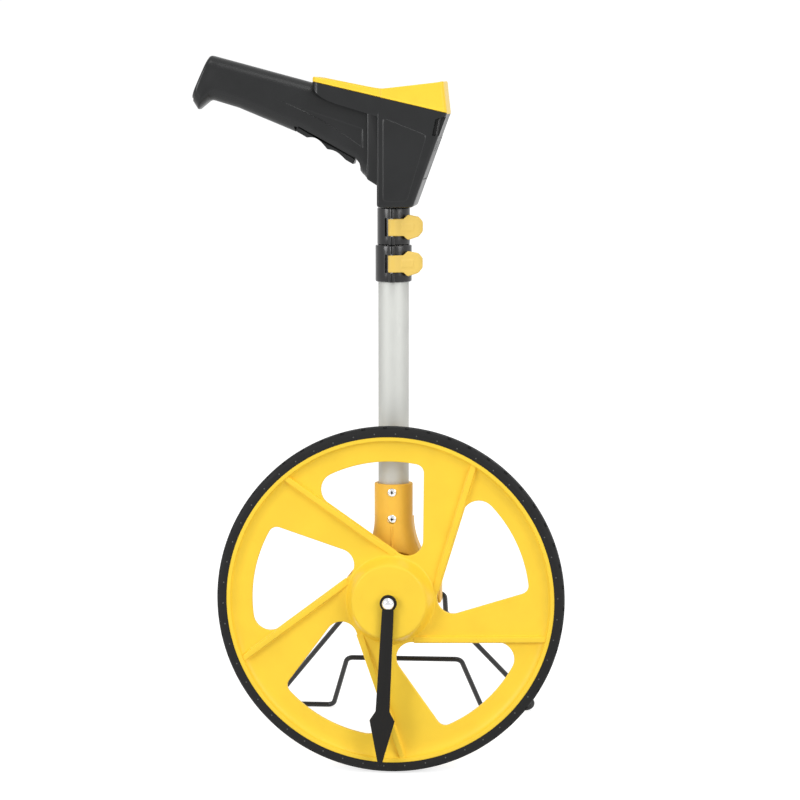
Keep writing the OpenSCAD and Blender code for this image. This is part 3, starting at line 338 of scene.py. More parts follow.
def make(name, shapes, body, nodes, finish, sharp=35.0):
    """Object of several shapes that rides on a body and takes the place of CAD nodes. Edges sharper
    than an angle in degrees stay sharp."""
    verts, faces = [], []
    for points, arrays in shapes:
        start = sum(map(len, verts))
        verts.append(placed(points))
        for array in arrays:
            faces += (start + array).tolist()
    mesh = bpy.data.meshes.new(name)
    mesh.from_pydata(np.concatenate(verts).tolist(), [], faces)
    bm = bmesh.new()
    bm.from_mesh(mesh)
    bmesh.ops.remove_doubles(bm, verts=bm.verts, dist=WELD)
    bmesh.ops.recalc_face_normals(bm, faces=bm.faces)
    bm.to_mesh(mesh)
    bm.free()
    mesh.shade_smooth()
    mesh.set_sharp_from_angle(angle=math.radians(sharp))
    mesh.materials.append(bpy.data.materials[finish])
    obj = bpy.data.objects.new(name, mesh)
    bpy.context.collection.objects.link(obj)
    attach(obj, body)
    if nodes:
        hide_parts(*nodes)


# Materials

# size in millimetres of the broad mottling that every finish has a trace of
MOTTLE = 28.57


class Look(NamedTuple):
    """What a finish has beside its colour: its slot, the light in its darker shade as a share, the
    range of its roughness, its grain across and in height in millimetres, the stretch of that grain
    along Z, how metallic it is, the level of its gloss and further inputs of the shader."""

    slot: str
    shade: float
    rough: tuple
    grain: float
    height: float
    stretch: float = 1.0
    metallic: float = 0.0
    gloss: float = 0.5
    more: dict = {}


FINISHES = {
    # glossy moulded ABS of the wheel and bezel
    "moulded_yellow_abs": Look("yellow_abs", 0.95, (0.32, 0.42), 0.5, 0.003, gloss=0.22),
    # the same ABS with a satin skin on the levers
    "satin_yellow_abs": Look("yellow_abs", 0.94, (0.45, 0.55), 0.5, 0.004, gloss=0.3),
    # darker moulded ABS of the bracket
    "moulded_amber_abs": Look("amber_abs", 0.92, (0.38, 0.48), 0.5, 0.004, gloss=0.18),
    # vulcanised tyre rubber, dull with a fine grain
    "vulcanised_rubber": Look("tyre_rubber", 0.75, (0.55, 0.75), 0.35, 0.02, gloss=0.25),
    # the same rubber, made paler on the vent nubs as a painted highlight
    "nub_highlight_rubber": Look("tyre_rubber", 0.70, (0.60, 0.75), 0.35, 0.01),
    # spark-textured black ABS, whose fine grain spreads the gloss
    "textured_black_abs": Look("black_abs", 0.80, (0.30, 0.38), 0.3, 0.003, gloss=0.35),
    # glass-filled nylon with a smooth moulded gloss, its colour lighter than the pointer's nylon as a
    # painted sheen on the collars
    "glass_filled_nylon_with_painted_sheen": Look("black_nylon", 0.80, (0.20, 0.28), 0.4, 0.002, gloss=0.45),
    # the same nylon with a matt skin on the pointer
    "matt_black_nylon": Look("black_nylon", 0.85, (0.45, 0.55), 0.4, 0.003, gloss=0.2),
    # silicone rubber of the keys, matt
    "silicone_rubber": Look("key_rubber", 0.80, (0.60, 0.72), 0.3, 0.006),
    # paint on the steel wire of the stand, glossy
    "painted_steel_wire": Look("black_wire", 0.75, (0.22, 0.32), 0.8, 0.004, gloss=0.45),
    # zinc-plated steel, bright with a slight haze
    "zinc_plated_steel": Look("steel", 0.80, (0.25, 0.40), 0.4, 0.004, metallic=1.0),
    # blackened steel of the trigger's pin, dull; on the floors of the socket screws' crosses it is
    # painted shade, a dark sheet where the recess only lies in shade
    "blackened_steel_and_recess_shade": Look("steel", 0.70, (0.50, 0.65), 0.4, 0.004, gloss=0.2),
    # chrome plate, mirror bright
    "chrome_plate": Look("chrome", 0.92, (0.06, 0.12), 1.0, 0.001, metallic=1.0),
    # anodised drawn aluminium, satin with faint draw lines along the tube
    "anodised_aluminium": Look("aluminium", 0.92, (0.62, 0.72), 0.25, 0.003, 60.0, metallic=0.7),
    # green solder mask over the boards
    "solder_mask": Look("board", 0.72, (0.30, 0.45), 1.2, 0.01),
    # reflective display glass, grey green
    "display_glass": Look("lcd", 0.88, (0.18, 0.28), 2.0, 0.0),
    # clear acrylic window, which shows the display behind it
    "clear_acrylic": Look(
        "window", 0.94, (0.04, 0.08), 3.0, 0.0, more={"Transmission Weight": 0.95, "IOR": 1.49}
    ),
    # lacquered sleeve of the cells
    "lacquered_cell": Look("cell", 0.78, (0.25, 0.40), 0.6, 0.002),
}


def add(tree, kind, inputs=None, **settings):
    """Adds a node. An input is a value, or a node and one of its outputs."""
    made = tree.nodes.new(kind)
    for key, value in settings.items():
        setattr(made, key, value)
    for key, value in (inputs or {}).items():
        if isinstance(value, tuple) and isinstance(value[0], bpy.types.Node):
            tree.links.new(value[0].outputs[value[1]], made.inputs[key])
        else:
            made.inputs[key].default_value = value
    return made


def emptied(data):
    """Node tree of a material or world, with no nodes in it."""
    data.use_nodes = True
    data.node_tree.nodes.clear()
    return data.node_tree


def build_material(name, light):
    """Material of a finish: fine grain for the bump and broad mottling for colour and roughness."""
    look = FINISHES[name]
    tree = emptied(bpy.data.materials.new(name))
    at = (add(tree, "ShaderNodeTexCoord"), "Object")
    fine = add(tree, "ShaderNodeMapping", {"Vector": at, "Scale": (1.0, 1.0, 1.0 / look.stretch)})
    grains = add(
        tree, "ShaderNodeTexNoise", {"Vector": (fine, 0), "Scale": 1000.0 / look.grain, "Detail": 2.0}
    )
    cloud = add(tree, "ShaderNodeTexNoise", {"Vector": at, "Scale": 1000.0 / MOTTLE, "Detail": 3.0})
    tone = add(tree, "ShaderNodeValToRGB", {"Fac": (cloud, "Fac")})
    for element, place, share in zip(tone.color_ramp.elements, (0.35, 0.65), (look.shade, 1.0)):
        element.position = place
        element.color = (*(share * light), 1.0)
    low, high = look.rough
    spread = {"From Min": 0.3, "From Max": 0.7, "To Min": low, "To Max": high}
    rough = add(tree, "ShaderNodeMapRange", {"Value": (cloud, "Fac"), **spread})
    height = {"Height": (grains, "Fac"), "Distance": look.height * 0.001, "Strength": 1.0}
    bump = add(tree, "ShaderNodeBump", height)
    shader = add(
        tree,
        "ShaderNodeBsdfPrincipled",
        {
            "Base Color": (tone, "Color"),
            "Roughness": (rough, "Result"),
            "Normal": (bump, "Normal"),
            "Metallic": look.metallic,
            "Specular IOR Level": look.gloss,
            **look.more,
        },
    )
    add(tree, "ShaderNodeOutputMaterial", {"Surface": (shader, 0)})


class WHEEL_OT_finishes(Operator):
    """Materials of all pieces"""

    bl_idname = "measuring_wheel.finishes"
    bl_label = "Finishes"

    def execute(self, context):
        colours = context.scene.measuring_wheel.finish
        for name in FINISHES:
            build_material(name, np.array(getattr(colours, name)))
        return {"FINISHED"}


# Wheel

# number of spokes, directions of a window's rib edge and low edge, and the angle between two windows
SPOKES, RIB_A, LOW_A, SECTOR = 5, 73.0, 17.4, 72.0
# steps of a window's inner corner before the line through the axle
FIRST_STEPS = 8
# half widths of the rim and of the tyre's seat in it, and width of the fillet from web to rim
RIM_HALF, SEAT_HALF, FILLET = 8.0, 6.4, 10.0


def window_outline(s):
    """Window between a rib edge, a low edge and an outer arc, with rounded corners, in four runs:
    inner corner, low edge, outer arc and rib edge. A corner's centre lies its radius from both of
    its edges."""
    inner_r, rib_r, low_r = 14.6, 15.5, 8.0
    n1, t1, n2, t2 = (direction(a) for a in (RIB_A - 90, RIB_A, LOW_A + 90, LOW_A))
    inner_c = np.linalg.solve(np.stack([n1, n2]), (s.rib_edge + inner_r, inner_r - s.low_edge))
    rib_d, low_d = s.rib_edge + rib_r, low_r - s.low_edge
    rib_c = rib_d * n1 + math.sqrt((s.window - rib_r) ** 2 - rib_d**2) * t1
    low_c = low_d * n2 + math.sqrt((s.window - low_r) ** 2 - low_d**2) * t2
    rib_a, low_a = (math.degrees(math.atan2(c[1], c[0])) for c in (rib_c, low_c))
    first = arc(inner_c, inner_r, RIB_A + 90, 180, FIRST_STEPS)
    inner = np.concatenate([first[:-1], arc(inner_c, inner_r, 180, LOW_A + 270, 28)])
    low = arc(low_c, low_r, LOW_A - 90, low_a, 12)
    outer = arc((0, 0), s.window, low_a, rib_a, 60)
    rib = arc(rib_c, rib_r, rib_a, RIB_A + 90, 12)
    f = np.linspace(0, 1, 7)[:, None]
    runs = [
        inner[:-1],
        np.concatenate([inner[-1] + f * (low[0] - inner[-1]), low[1:7]])[:-1],
        np.concatenate([low[6:], outer[1:-1], rib[:7]])[:-1],
        np.concatenate([rib[6:], rib[-1] + f[1:] * (inner[0] - rib[-1])])[:-1],
    ]
    return np.concatenate(runs), [len(run) for run in runs]


def cell_outline(counts, inner_r, outer_r):
    """Edge of the web cell round a window: an arc in the boss, the middle line of the spoke before,
    an arc at the rim and the middle line of the spoke behind, with as many points as the window's
    runs. The middle line is x = foot + slope z, and meets a circle where x^2 + z^2 = r^2."""
    foot, slope = 35.35, 0.158
    r = np.array((inner_r, outer_r))
    z = (-foot * slope + np.sqrt((1 + slope**2) * r * r - foot**2)) / (1 + slope**2)
    line = joined(foot + slope * z, z)
    back = swung(line, -SECTOR)
    a0, a1 = np.degrees(np.arctan2(line[:, 1], line[:, 0]))
    f = [np.linspace(0, 1, n + 1)[:-1, None] for n in counts]
    runs = [
        arc((0, 0), inner_r, a0, 0, FIRST_STEPS)[:-1],
        arc((0, 0), inner_r, 0, a0 - SECTOR, counts[0] - FIRST_STEPS)[:-1],
        back[0] + f[1] * (back[1] - back[0]),
        arc((0, 0), outer_r, a1 - SECTOR, a1, counts[2])[:-1],
        line[1] + f[3] * (line[0] - line[1]),
    ]
    return np.concatenate(runs), a1


def web_shapes(s):
    """Five web cells, each a grid from its edge over the rounded lip of the window to the rear, and
    the angles at which their points meet the rim."""
    lap, band, r = 1.5, 1.6, 0.8
    window, counts = window_outline(s)
    cell, start = cell_outline(counts, s.boss - lap, s.wall - FILLET)
    inset, depth = rounding(r, 4)
    lip = offset(window, -np.concatenate([[band], inset, depth, [band]]))
    mid = lip[0] + np.array([0.85, 0.6, 0.35, 0.15])[:, None, None] * (cell - lip[0])
    flat = np.concatenate([cell[None], mid, lip, cell[None]])
    y_front = np.concatenate([[-s.web_front] * 6, -s.web_front + depth])
    y_rear = np.concatenate([s.web_rear - inset, [s.web_rear] * 2])
    y = np.concatenate([y_front, y_rear])[:, None]
    shapes = []
    for k in range(SPOKES):
        p = swung(flat, SECTOR * k)
        points, faces = sheet(joined(p[..., 0], y, p[..., 1]), wrap_m=True)
        last = len(points) - flat.shape[1]
        # the cell's edge in the boss is closed from front to rear
        i = np.arange(counts[0])
        faces.append(joined(i, i + 1, last + i + 1, last + i))
        shapes.append((points, faces))
    return shapes, math.radians(start) + circle(SPOKES * counts[2])


def rib_shape(s, k):
    """Rib along a window: a section with hollow feet and rounded top, moved along the rib. Its height
    fades out towards the boss."""
    set_back, fade_from, fade = 2.9, 20.0, 28.0
    top = arc((1.7, 3.7), 0.9, 0, 90, 5)
    half = np.concatenate([[(3.7, -0.6), (3.6, 0.0), (2.95, 0.35), (2.65, 1.0)], top])
    section = np.concatenate([half, half[::-1] * (-1, 1)])
    n1, t1 = direction(RIB_A - 90 + SECTOR * k), direction(RIB_A + SECTOR * k)
    along = np.concatenate([np.arange(21.0, 46.0, 4.0), [50.0, 100.0, 142.6]])
    rise = 0.1 + 0.9 * smooth((along - fade_from) / fade)
    across = s.rib_edge - set_back + section[:, 0]
    flat = along[:, None, None] * t1 + across[None, :, None] * n1
    y = -s.web_front - np.maximum(section[:, 1], 0) * rise[:, None] - np.minimum(section[:, 1], 0)
    return capped(joined(flat[..., 0], y, flat[..., 1]))


def quarter_ellipse(x0, y0, a, b, n):
    """Quarter of an ellipse that leaves the web flat and meets the rim's wall."""
    f = np.linspace(0, np.pi / 2, n + 1)
    return joined(x0 + a * np.sin(f), y0 + b * (1 - np.cos(f)))


def rim_profile(s):
    """Section of the rim as (radius, depth): fillet, front lip, the tyre's seat, rear lip and fillet."""
    edge, r = s.wall - FILLET, 0.5
    runs = [
        quarter_ellipse(edge, -s.web_front, FILLET, s.web_front - RIM_HALF + r, 10)[:-1],
        arc((s.wall + r, r - RIM_HALF), r, 180, 270, 4),
        arc((s.lip - r, r - RIM_HALF), r, 270, 360, 4),
        [(s.lip, -SEAT_HALF), (s.seat, -SEAT_HALF), (s.seat, SEAT_HALF), (s.lip, SEAT_HALF)],
        arc((s.lip - r, RIM_HALF - r), r, 0, 90, 4),
        arc((s.wall + r, RIM_HALF - r), r, 90, 180, 4),
        quarter_ellipse(edge, s.web_rear, FILLET, RIM_HALF - r - s.web_rear, 10)[-2::-1],
    ]
    return np.concatenate(runs)


def boss_profile(s):
    """Section of the boss as a ring of (radius, depth): the flat face, a soft fall to the web that is
    level at both ends, f^3 (10 - 15 f + 6 f^2), the hollow behind it, and the hub for the bearings."""
    bore, hub_bore, hub_r, flat, fall = 4.4, 11.0, 14.5, 32.0, 10.4
    front, deep, rear, hub_rear = -s.boss_front, 15.6, 2.0, 24.0
    inner = front + 3.2
    f = np.linspace(0, 1, 33)
    runs = [
        [(bore, front), (18.0, front)],
        joined(flat + fall * f, front + deep * f**3 * (10 - 15 * f + 6 * f * f)),
        [(flat + fall, rear), (36.5, rear), (32.5, front + 9), (27.5, inner), (hub_r, inner)],
        [(hub_r, hub_rear), (hub_bore, hub_rear), (hub_bore, inner), (bore, inner)],
    ]
    return np.concatenate(runs)


class WHEEL_OT_wheel(Operator):
    """Wheel of web cells, ribs, boss and rim"""

    bl_idname = "measuring_wheel.wheel"
    bl_label = "Wheel"

    def execute(self, context):
        s = MM(context.scene.measuring_wheel.wheel)
        shapes, angles = web_shapes(s)
        shapes += [rib_shape(s, k) for k in range(SPOKES)]
        shapes.append(turned(rim_profile(s), angles))
        shapes.append(turned(boss_profile(s), circle(144), closed=True))
        make("wheel_visual", shapes, "wheel", ["wheel_disc"], "moulded_yellow_abs")
        return {"FINISHED"}


# number of notches round the tyre, and of vent nubs on each side
NOTCHES = 50


def tyre_shape(s):
    """Tyre as its profile turned about the axle: x = r cos t, z = r sin t, with r less in the notches
    of the shoulders. Each of the two tread grooves is a parabola across."""
    w, r, gap, side_r = 0.5 * s.width, s.shoulder, 0.1, 152.4
    bead = s.lip + gap
    side = [(s.seat, 0), (s.seat, -SEAT_HALF), (bead, -SEAT_HALF), (bead, -w), (side_r, -w)]
    f = np.radians([90, 75, 62, 50.5, 48, 46.5, 40, 30, 20, 12, 10.5, 8, 0])
    corner = joined(s.radius - r + r * np.cos(f), r - w - r * np.sin(f))
    groove_y, groove_half, groove_deep = -1.53, 0.5, 0.6
    across = np.array((-0.52, -0.25, 0, 0.25, 0.52))
    sunk = groove_deep * np.clip(1 - (across / groove_half) ** 2, 0, 1)
    half = np.concatenate([side, corner, joined(s.radius - sunk, groove_y + across)])
    radius, y = np.concatenate([half, half[:0:-1] * (1, -1)]).T
    # angle of the first notch, half length and depth of each, and the band that they cut
    notch_a, notch_half, notch_deep, band = -2.0, 1.65, 1.8, (4.25, 6.95)
    step = np.array((-10, -6.5, -3, -1.85, -1.6, -1.2, 0, 1.2, 1.6, 1.85, 3, 6.5))
    t = (math.radians(notch_a) + circle(NOTCHES)[:, None] + step / s.radius).reshape(-1, 1)
    in_notch = np.tile(np.abs(step) < notch_half, NOTCHES)[:, None]
    on_band = (np.abs(y) > band[0]) & (np.abs(y) < band[1]) & (radius > s.radius - r)
    radius = np.where(in_notch & on_band, np.minimum(radius, s.radius - notch_deep), radius)
    grid = joined(radius * np.cos(t), y, radius * np.sin(t))
    return sheet(grid, wrap_n=True, wrap_m=True)


def nub_shapes(s):
    """Vent nubs, each a small turned dome, in a circle on either side of the tyre."""
    circle_r, first_a = 153.2, 1.6
    nub = [(0.65, 0.3), (0.65, -0.05), (0.5, -0.2), (0.25, -0.3), (0.0, -0.33)]
    points, faces = turned(nub, circle(8))
    places = arc((0, 0), circle_r, first_a, first_a + 360, NOTCHES)[:-1]
    return [
        (points * (1, -side, 1) + (x, 0.5 * side * s.width, z), faces)
        for side in (-1, 1)
        for x, z in places
    ]


class WHEEL_OT_tyre(Operator):
    """Tyre turned from its profile, with notches in the shoulders, two tread grooves and vent nubs"""

    bl_idname = "measuring_wheel.tyre"
    bl_label = "Tyre"

    def execute(self, context):
        s = MM(context.scene.measuring_wheel.wheel)
        make("tyre_visual", [tyre_shape(s)], "wheel", ["tyre"], "vulcanised_rubber")
        # the nubs take a paler colour, a painted highlight
        make("tyre_nubs", nub_shapes(s), "wheel", [], "nub_highlight_rubber")
        return {"FINISHED"}


class WHEEL_OT_pointer(Operator):
    """Pointer with its eye, and the domed cap that keeps it on the axle"""

    bl_idname = "measuring_wheel.pointer"
    bl_label = "Pointer"

    def execute(self, context):
        y0, y1, skin, hang = -22.9, -20.4, 0.06, -3.0
        half = [(5.3, -6.2, 0.3), (6.4, -100, 2), (11.5, -108.5, 1.2), (1.4, -150.5, 1)]
        arm = swung(rounded([(-x, z, r) for x, z, r in half] + half[::-1]), hang)
        bore, r, edges = 5.05, 7.75, (0.2, 0.6, 0.6, 0.2)
        eye = ring(bore, r, y0, y1, edges, 4, circle(64) + math.radians(hang))
        shapes = [plate(arm, y0 + skin, y1 - skin, 0.5), eye]
        make("pointer_visual", shapes, "pointer", ["pointer"], "matt_black_nylon")
        # the dome is half as high as its radius r, so its sphere has a radius of 5/4 r
        r, edge, rear, bore, floor = 5.45, -24.7, -23.1, 4.0, -24.8
        dome = arc((0, edge + 0.75 * r), 1.25 * r, -90, -math.degrees(math.atan2(3, 4)), 12)
        cap = np.concatenate([dome, [(r, rear), (bore, rear), (bore, floor), (0, floor)]])
        make("axle_cap_visual", [turned(cap, circle(64))], "chassis", ["axle_cap"], "chrome_plate")
        return {"FINISHED"}


# Stand, tubes and clamps


class WHEEL_OT_stand(Operator):
    """Wire stand bent in one plane and swung out behind the wheel"""

    bl_idname = "measuring_wheel.stand"
    bl_label = "Stand"

    def execute(self, context):
        s = MM(context.scene.measuring_wheel.tube)
        swing, pivot, bend = 36.0, (0, 54.5, -2.5), 7.0
        # places across the wheel and down from the pivot
        right = [(24.5, 0), (45.6, 0), (45.6, 26), (129.5, 157), (75, 157), (57.2, 90)]
        left = [(-51.2, 90), (-69, 157), (-129.5, 157), (-45.6, 26), (-45.6, 0), (-24.5, 0)]
        path = bent([(x, d, bend) for x, d in right + left], 10)
        cos, sin = direction(swing)
        down = np.array((0, sin, -cos))
        shape = wire(path[:, :1] * ALONG + path[:, 1:] * down + pivot, np.cross(ALONG, down), s.wire)
        make("stand_visual", [shape], "stand", ["stand_wire"], "painted_steel_wire")
        return {"FINISHED"}


class WHEEL_OT_tubes(Operator):
    """Three telescopic tubes with chamfered ends"""

    bl_idname = "measuring_wheel.tubes"
    bl_label = "Tubes"

    def execute(self, context):
        s = MM(context.scene.measuring_wheel.tube)
        for name, body, r, z0, z1 in (
            ("outer_tube", "chassis", s.outer, 62, 318),
            ("middle_tube", "middle", s.middle, 73, 352.9),
            ("inner_tube", "head", s.inner, 84, 393.2),
        ):
            tube = ring(r - s.wall, r, z0, z1, (0.1, 0.3, 0.3, 0.1), 2, circle(72))
            tube = stood(tube, (0, s.depth, 0))
            make(name + "_visual", [tube], body, [name], "anodised_aluminium")
        return {"FINISHED"}


def collar_shape(s, r, bore, z0, z1, pin, lever_z):
    """Collar as radius over angle and height: the ring, a round bead over the pin with the collar's
    split down its middle, and in the lever's slot no bead but a recess for the lever's foot. The
    inside closes the surface."""
    # columns of points, closer together at the edges of recess, bead and split
    left = [-27, -24, -22.4, -21.8, -18, -13, -10.3, -9.7, -9.2, -8.6, -7.8, -7.2, -6, -4, -2.2, -1.5, -1]
    right = [0, 1, 1.5, 2.2, 4, 6, 7.5, 8.6, 9.2, 9.7, 10.3, 13, 18, 24]
    turn = np.radians(np.concatenate([np.arange(-180, -30, 6), left, right, np.arange(30, 180, 6)]))
    low_r, top_r, slot, step, fit = 1.2, 1.0, 8.2, 0.15, 0.03
    (low_in, low_deep), (top_deep, top_in) = rounding(low_r, 4), rounding(top_r, 4)
    rows = np.array((slot, slot + step, slot + step + 2))
    rows = np.concatenate([-rows[::-1], [0], rows])
    z = np.concatenate([z0 + low_deep, lever_z + rows, z1 - top_deep])
    edge = np.concatenate([low_in, 0 * rows, top_in])
    split_half, split_deep = 0.36, 1.3
    across, facing = pin * np.sin(turn), np.cos(turn) > 0
    bead = pin * np.cos(turn) + np.sqrt(np.maximum(s.bead**2 - across**2, 0))
    bead = bead - split_deep * (np.abs(across) < split_half)
    bead = np.where((np.abs(across) < s.bead) & facing, bead, 0)
    x, recess_ends, recess_deep = r * np.sin(turn), (-6.2, 4.3), 2.0
    recess = (x > recess_ends[0]) & (x < recess_ends[1]) & facing
    in_slot = (np.abs(z - lever_z) < slot + step / 2)[:, None]
    outside = np.where(in_slot, r - recess_deep * recess, np.maximum(r, bead)) - edge[:, None]
    radius = np.concatenate([outside, np.full((2, len(turn)), bore + fit)])
    z = np.concatenate([z, [z1, z0]])[:, None]
    grid = joined(radius * np.sin(turn), -radius * np.cos(turn), z)
    return sheet(grid + (0, s.depth, 0), wrap_n=True, wrap_m=True)


# ends of a lever along X, radius of its foot about the pin, and its gap to the collar
LEVER_ENDS, FOOT, LEVER_GAP = (-3.4, 27.2), 3.4, 0.6


def lever_edge(x, tip):
    """Height of a lever's edge over its middle: the narrow stem, then the wide thumb end."""
    start, end = LEVER_ENDS
    corners = [(start, 0, 0.05), (start, 7.8, 1.6), (10.4, 7.8, 1.5), (14.2, 11.6, 2.5)]
    corners += [(23.5, 9.6 - tip, 3.5), (end, 5 - tip, 4), (end, 0, 0.05)]
    n = 8
    edge = rounded(corners, n)[n + 1 : -n - 1]
    return np.interp(x, np.maximum.accumulate(edge[:, 0]), edge[:, 1])


def lever_shape(s, r, pin):
    """Lever as sections along X: a rounded rectangle between the lower and the upper edge, bent
    round the collar and then straight. It swells over the pin, has a raised thumb pad and rolls back
    at the tip, and foot and knuckle go round the pin."""
    start, end = LEVER_ENDS
    t, c, straight_a = s.lever, 0.9, math.radians(26)
    ends = np.linspace(0.02, 1, 10) ** 2
    x = np.concatenate([start + 2 * ends, np.linspace(-1, 24, 64), end - 3 * ends[::-1]])[:, None]
    top, low = lever_edge(x, 0.0), -lever_edge(x, 1.0)
    up, out = rounding(c, 4)
    face = (top - c) + (low - top + 2 * c) * np.linspace(0, 1, 24)[1:-1]
    z = np.concatenate([top - up, top - up[::-1], face, low + up, low + up[::-1]], 1)
    pad_high, pad_half, pad_ends = 0.35, 3.9, (8.5, 20.0)
    pad = pad_high * smooth((pad_half - np.abs(face)) / 0.9)
    pad = pad * smooth((x - pad_ends[0]) / 1.2) * smooth((pad_ends[1] - x) / 1.2)
    wide = np.ones_like(x)
    rows = [wide * out, wide * (t - out[::-1]), t + pad, wide * (t - out), wide * out[::-1]]
    depth = np.concatenate(rows, 1)
    sides = []
    for radius in (r + LEVER_GAP, r + LEVER_GAP + t):
        bend = -np.sqrt(np.maximum(radius**2 - x**2, 0))
        leave = radius * math.sin(straight_a)
        straight = -radius * math.cos(straight_a) + (x - leave) * math.tan(straight_a)
        sides.append(np.where(x < leave, bend, straight))
    foot = np.sqrt(np.maximum(FOOT**2 - np.minimum(x, 0) ** 2, 0))
    inner = np.where(x < 0, np.minimum(sides[0], foot - pin), sides[0])
    swell_end, roll_from, roll_deep = 10.0, 22.8, 1.3
    swell = (pin + FOOT - r - LEVER_GAP - t) * smooth((swell_end - x) / 8)
    roll = roll_deep * np.clip((x - roll_from) / (end - roll_from), 0, 1) ** 2
    outer = np.where(x < 0, -pin - foot, sides[1] + roll - swell)
    grid = joined(x, inner + (outer - inner) * depth / t, z)
    bore, knuckle_r, tall, edges = 1.25, 3.3, 7.7, (0.1, 0.5, 0.5, 0.1)
    knuckle = ring(bore, knuckle_r, -tall, tall, edges, 3, circle(40))
    return [capped(grid), stood(knuckle, (0, -pin, 0))]


class WHEEL_OT_clamps(Operator):
    """Clamp collars with their levers"""

    bl_idname = "measuring_wheel.clamps"
    bl_label = "Clamps"

    def execute(self, context):
        s = MM(context.scene.measuring_wheel.tube)
        for name, body, r, bore, z0, z1, pin, lever_z in (
            ("lower", "chassis", s.lower_collar, s.outer, 289, 322.4, 18.6, 305.9),
            ("upper", "middle", s.upper_collar, s.middle, 322.6, 356.4, 17.1, 338.9),
        ):
            shape = collar_shape(s, r, bore, z0, z1, pin, lever_z)
            # the collars' nylon is painted lighter than the pointer's, as painted sheen
            make(name + "_collar_visual", [shape], body, [name + "_collar"], "glass_filled_nylon_with_painted_sheen", 28)
            lever = [moved(shape, (0, s.depth, lever_z)) for shape in lever_shape(s, r, pin)]
            make(name + "_lever_visual", lever, name + "_lever", [name + "_lever"], "satin_yellow_abs")
        return {"FINISHED"}


# outside radius of the bracket's socket, upper and lower end of its bell, rear of its cheeks,
# and the heights of the socket screws
SOCKET, BELL_TOP, BELL_LOW, CHEEK_REAR = 17.6, 70.0, 14.0, 48.5
SOCKET_SCREWS_Z = (96.3, 71.6)


def bell_edge(z, wall=0.0):
    """Half width of the bracket's bell at a height, less a wall: a parabola from the socket down."""
    flare = 26.4
    f = np.clip((BELL_TOP - z) / (BELL_TOP - BELL_LOW), 0, 1)
    return SOCKET + flare * f * f - wall


def bell_shape(s):
    """Bell of the bracket. In plan it is a U: x = w sin(a)^e and y = depth - socket cos(a)^e for the
    front, with e from 1 at the socket to 0.55 below, then straight cheeks. The lower edge is the
    arch about the hub, and an inner surface one wall inside closes it."""
    arch, low, top, thick = 42.0, -7.0, 71.0, 3.0
    a = np.radians(np.linspace(-90, 90, 73))
    sin, cos = np.sin(a), np.cos(a)
    # arch and width depend on each other, so x is brought closer in a few rounds
    x = 30.0 * sin
    for _ in range(30):
        edge = np.sqrt(np.maximum(arch**2 - x**2, 0))
        x = bell_edge(edge) * np.sign(sin) * np.abs(sin) ** 0.7
    edge = np.where(np.abs(x) > arch - 1, low, np.sqrt(np.maximum(arch**2 - x**2, low**2)))
    v = np.concatenate([np.linspace(1, 0.06, 24), [0.03, 0.0]])[:, None]
    rings = []
    for wall, rows in ((0.0, v), (thick, v[::-1])):
        z = edge + (top - edge) * rows
        e = 0.55 + 0.45 * np.clip((z - 20) / 50, 0, 1)
        px = bell_edge(z, wall) * np.sign(sin) * np.abs(sin) ** e
        py = s.depth - (SOCKET - wall) * np.maximum(cos, 0) ** e
        front = joined(px, py, z)
        cheek = front[:, [0, -1]]
        cheek[..., 1] = CHEEK_REAR - wall
        rings.append(np.concatenate([cheek[:, :1], front, cheek[:, 1:]], 1))
    grid = np.concatenate(rings)
    n, m, _ = grid.shape
    points, faces = sheet(grid, wrap_n=True)
    rims = m * np.arange(n) + np.array([(0,), (m - 1,)])
    return points, [*faces, rims]


def nose_shape():
    """Ridge below the socket's front: an ellipse in plan, which narrows to a round upper end."""
    low, round_z, top, front, half, rise = 38.0, 62.0, 66.0, 15.6, 0.9, 1.3
    z = np.concatenate([[low], top - (top - round_z) * np.linspace(1, 0, 9) ** 2])[:, None]
    slim = np.sqrt(np.clip(1.001 - ((z - round_z) / (top - round_z)).clip(0) ** 2, 0, 1))
    a = circle(24)[None, :]
    return capped(joined(half * slim * np.sin(a), front - rise * slim * np.cos(a), z))


class WHEEL_OT_bracket(Operator):
    """Axle bracket: socket, bell, rear wall with the axle's boss, nose rib and the eyes of the stand"""

    bl_idname = "measuring_wheel.bracket"
    bl_label = "Bracket"

    def execute(self, context):
        s = MM(context.scene.measuring_wheel.tube)
        bore, top, low, edges = 14.05, 103.5, 60, (0.3, 0.9, 0.1, 0.1)
        socket = ring(bore, SOCKET, top, low, edges, 6, circle(96))
        wall_front, wall_rear, wall_low, wall_half = CHEEK_REAR - 3.0, CHEEK_REAR - 0.1, -6.8, 43.6
        z = np.linspace(BELL_TOP, BELL_LOW, 13)
        side = joined(bell_edge(z) - 0.4, z)
        corners = [(wall_half, wall_low), (-wall_half, wall_low)]
        wall = np.concatenate([side, corners, side[::-1] * (-1, 1)])
        bore, r, y0, y1, edges = 4.05, 9, 34, 48, (0.2, 0.6, 0.1, 0.1)
        shapes = [
            stood(socket, (0, s.depth, 0)),
            bell_shape(s),
            plate(wall, wall_front, wall_rear, 0.2, 0.8),
            ring(bore, r, y0, y1, edges, 3, circle(48)),
            nose_shape(),
        ]
        y0, y1, low, top = 47, 59.15, -7.15, 2.15
        eye = rounded([(y0, low, 0.2), (y1, low, 4.6), (y1, top, 4.6), (y0, top, 0.2)], 10)
        eyes_x, eye_wide = (-38.0, 24.0), 14.0
        for x in eyes_x:
            points, faces = plate(eye, x, x + eye_wide, 0.7)
            shapes.append((points[:, [1, 0, 2]], faces))
        make("bracket_visual", shapes, "chassis", ["axle_bracket"], "moulded_amber_abs")
        return {"FINISHED"}


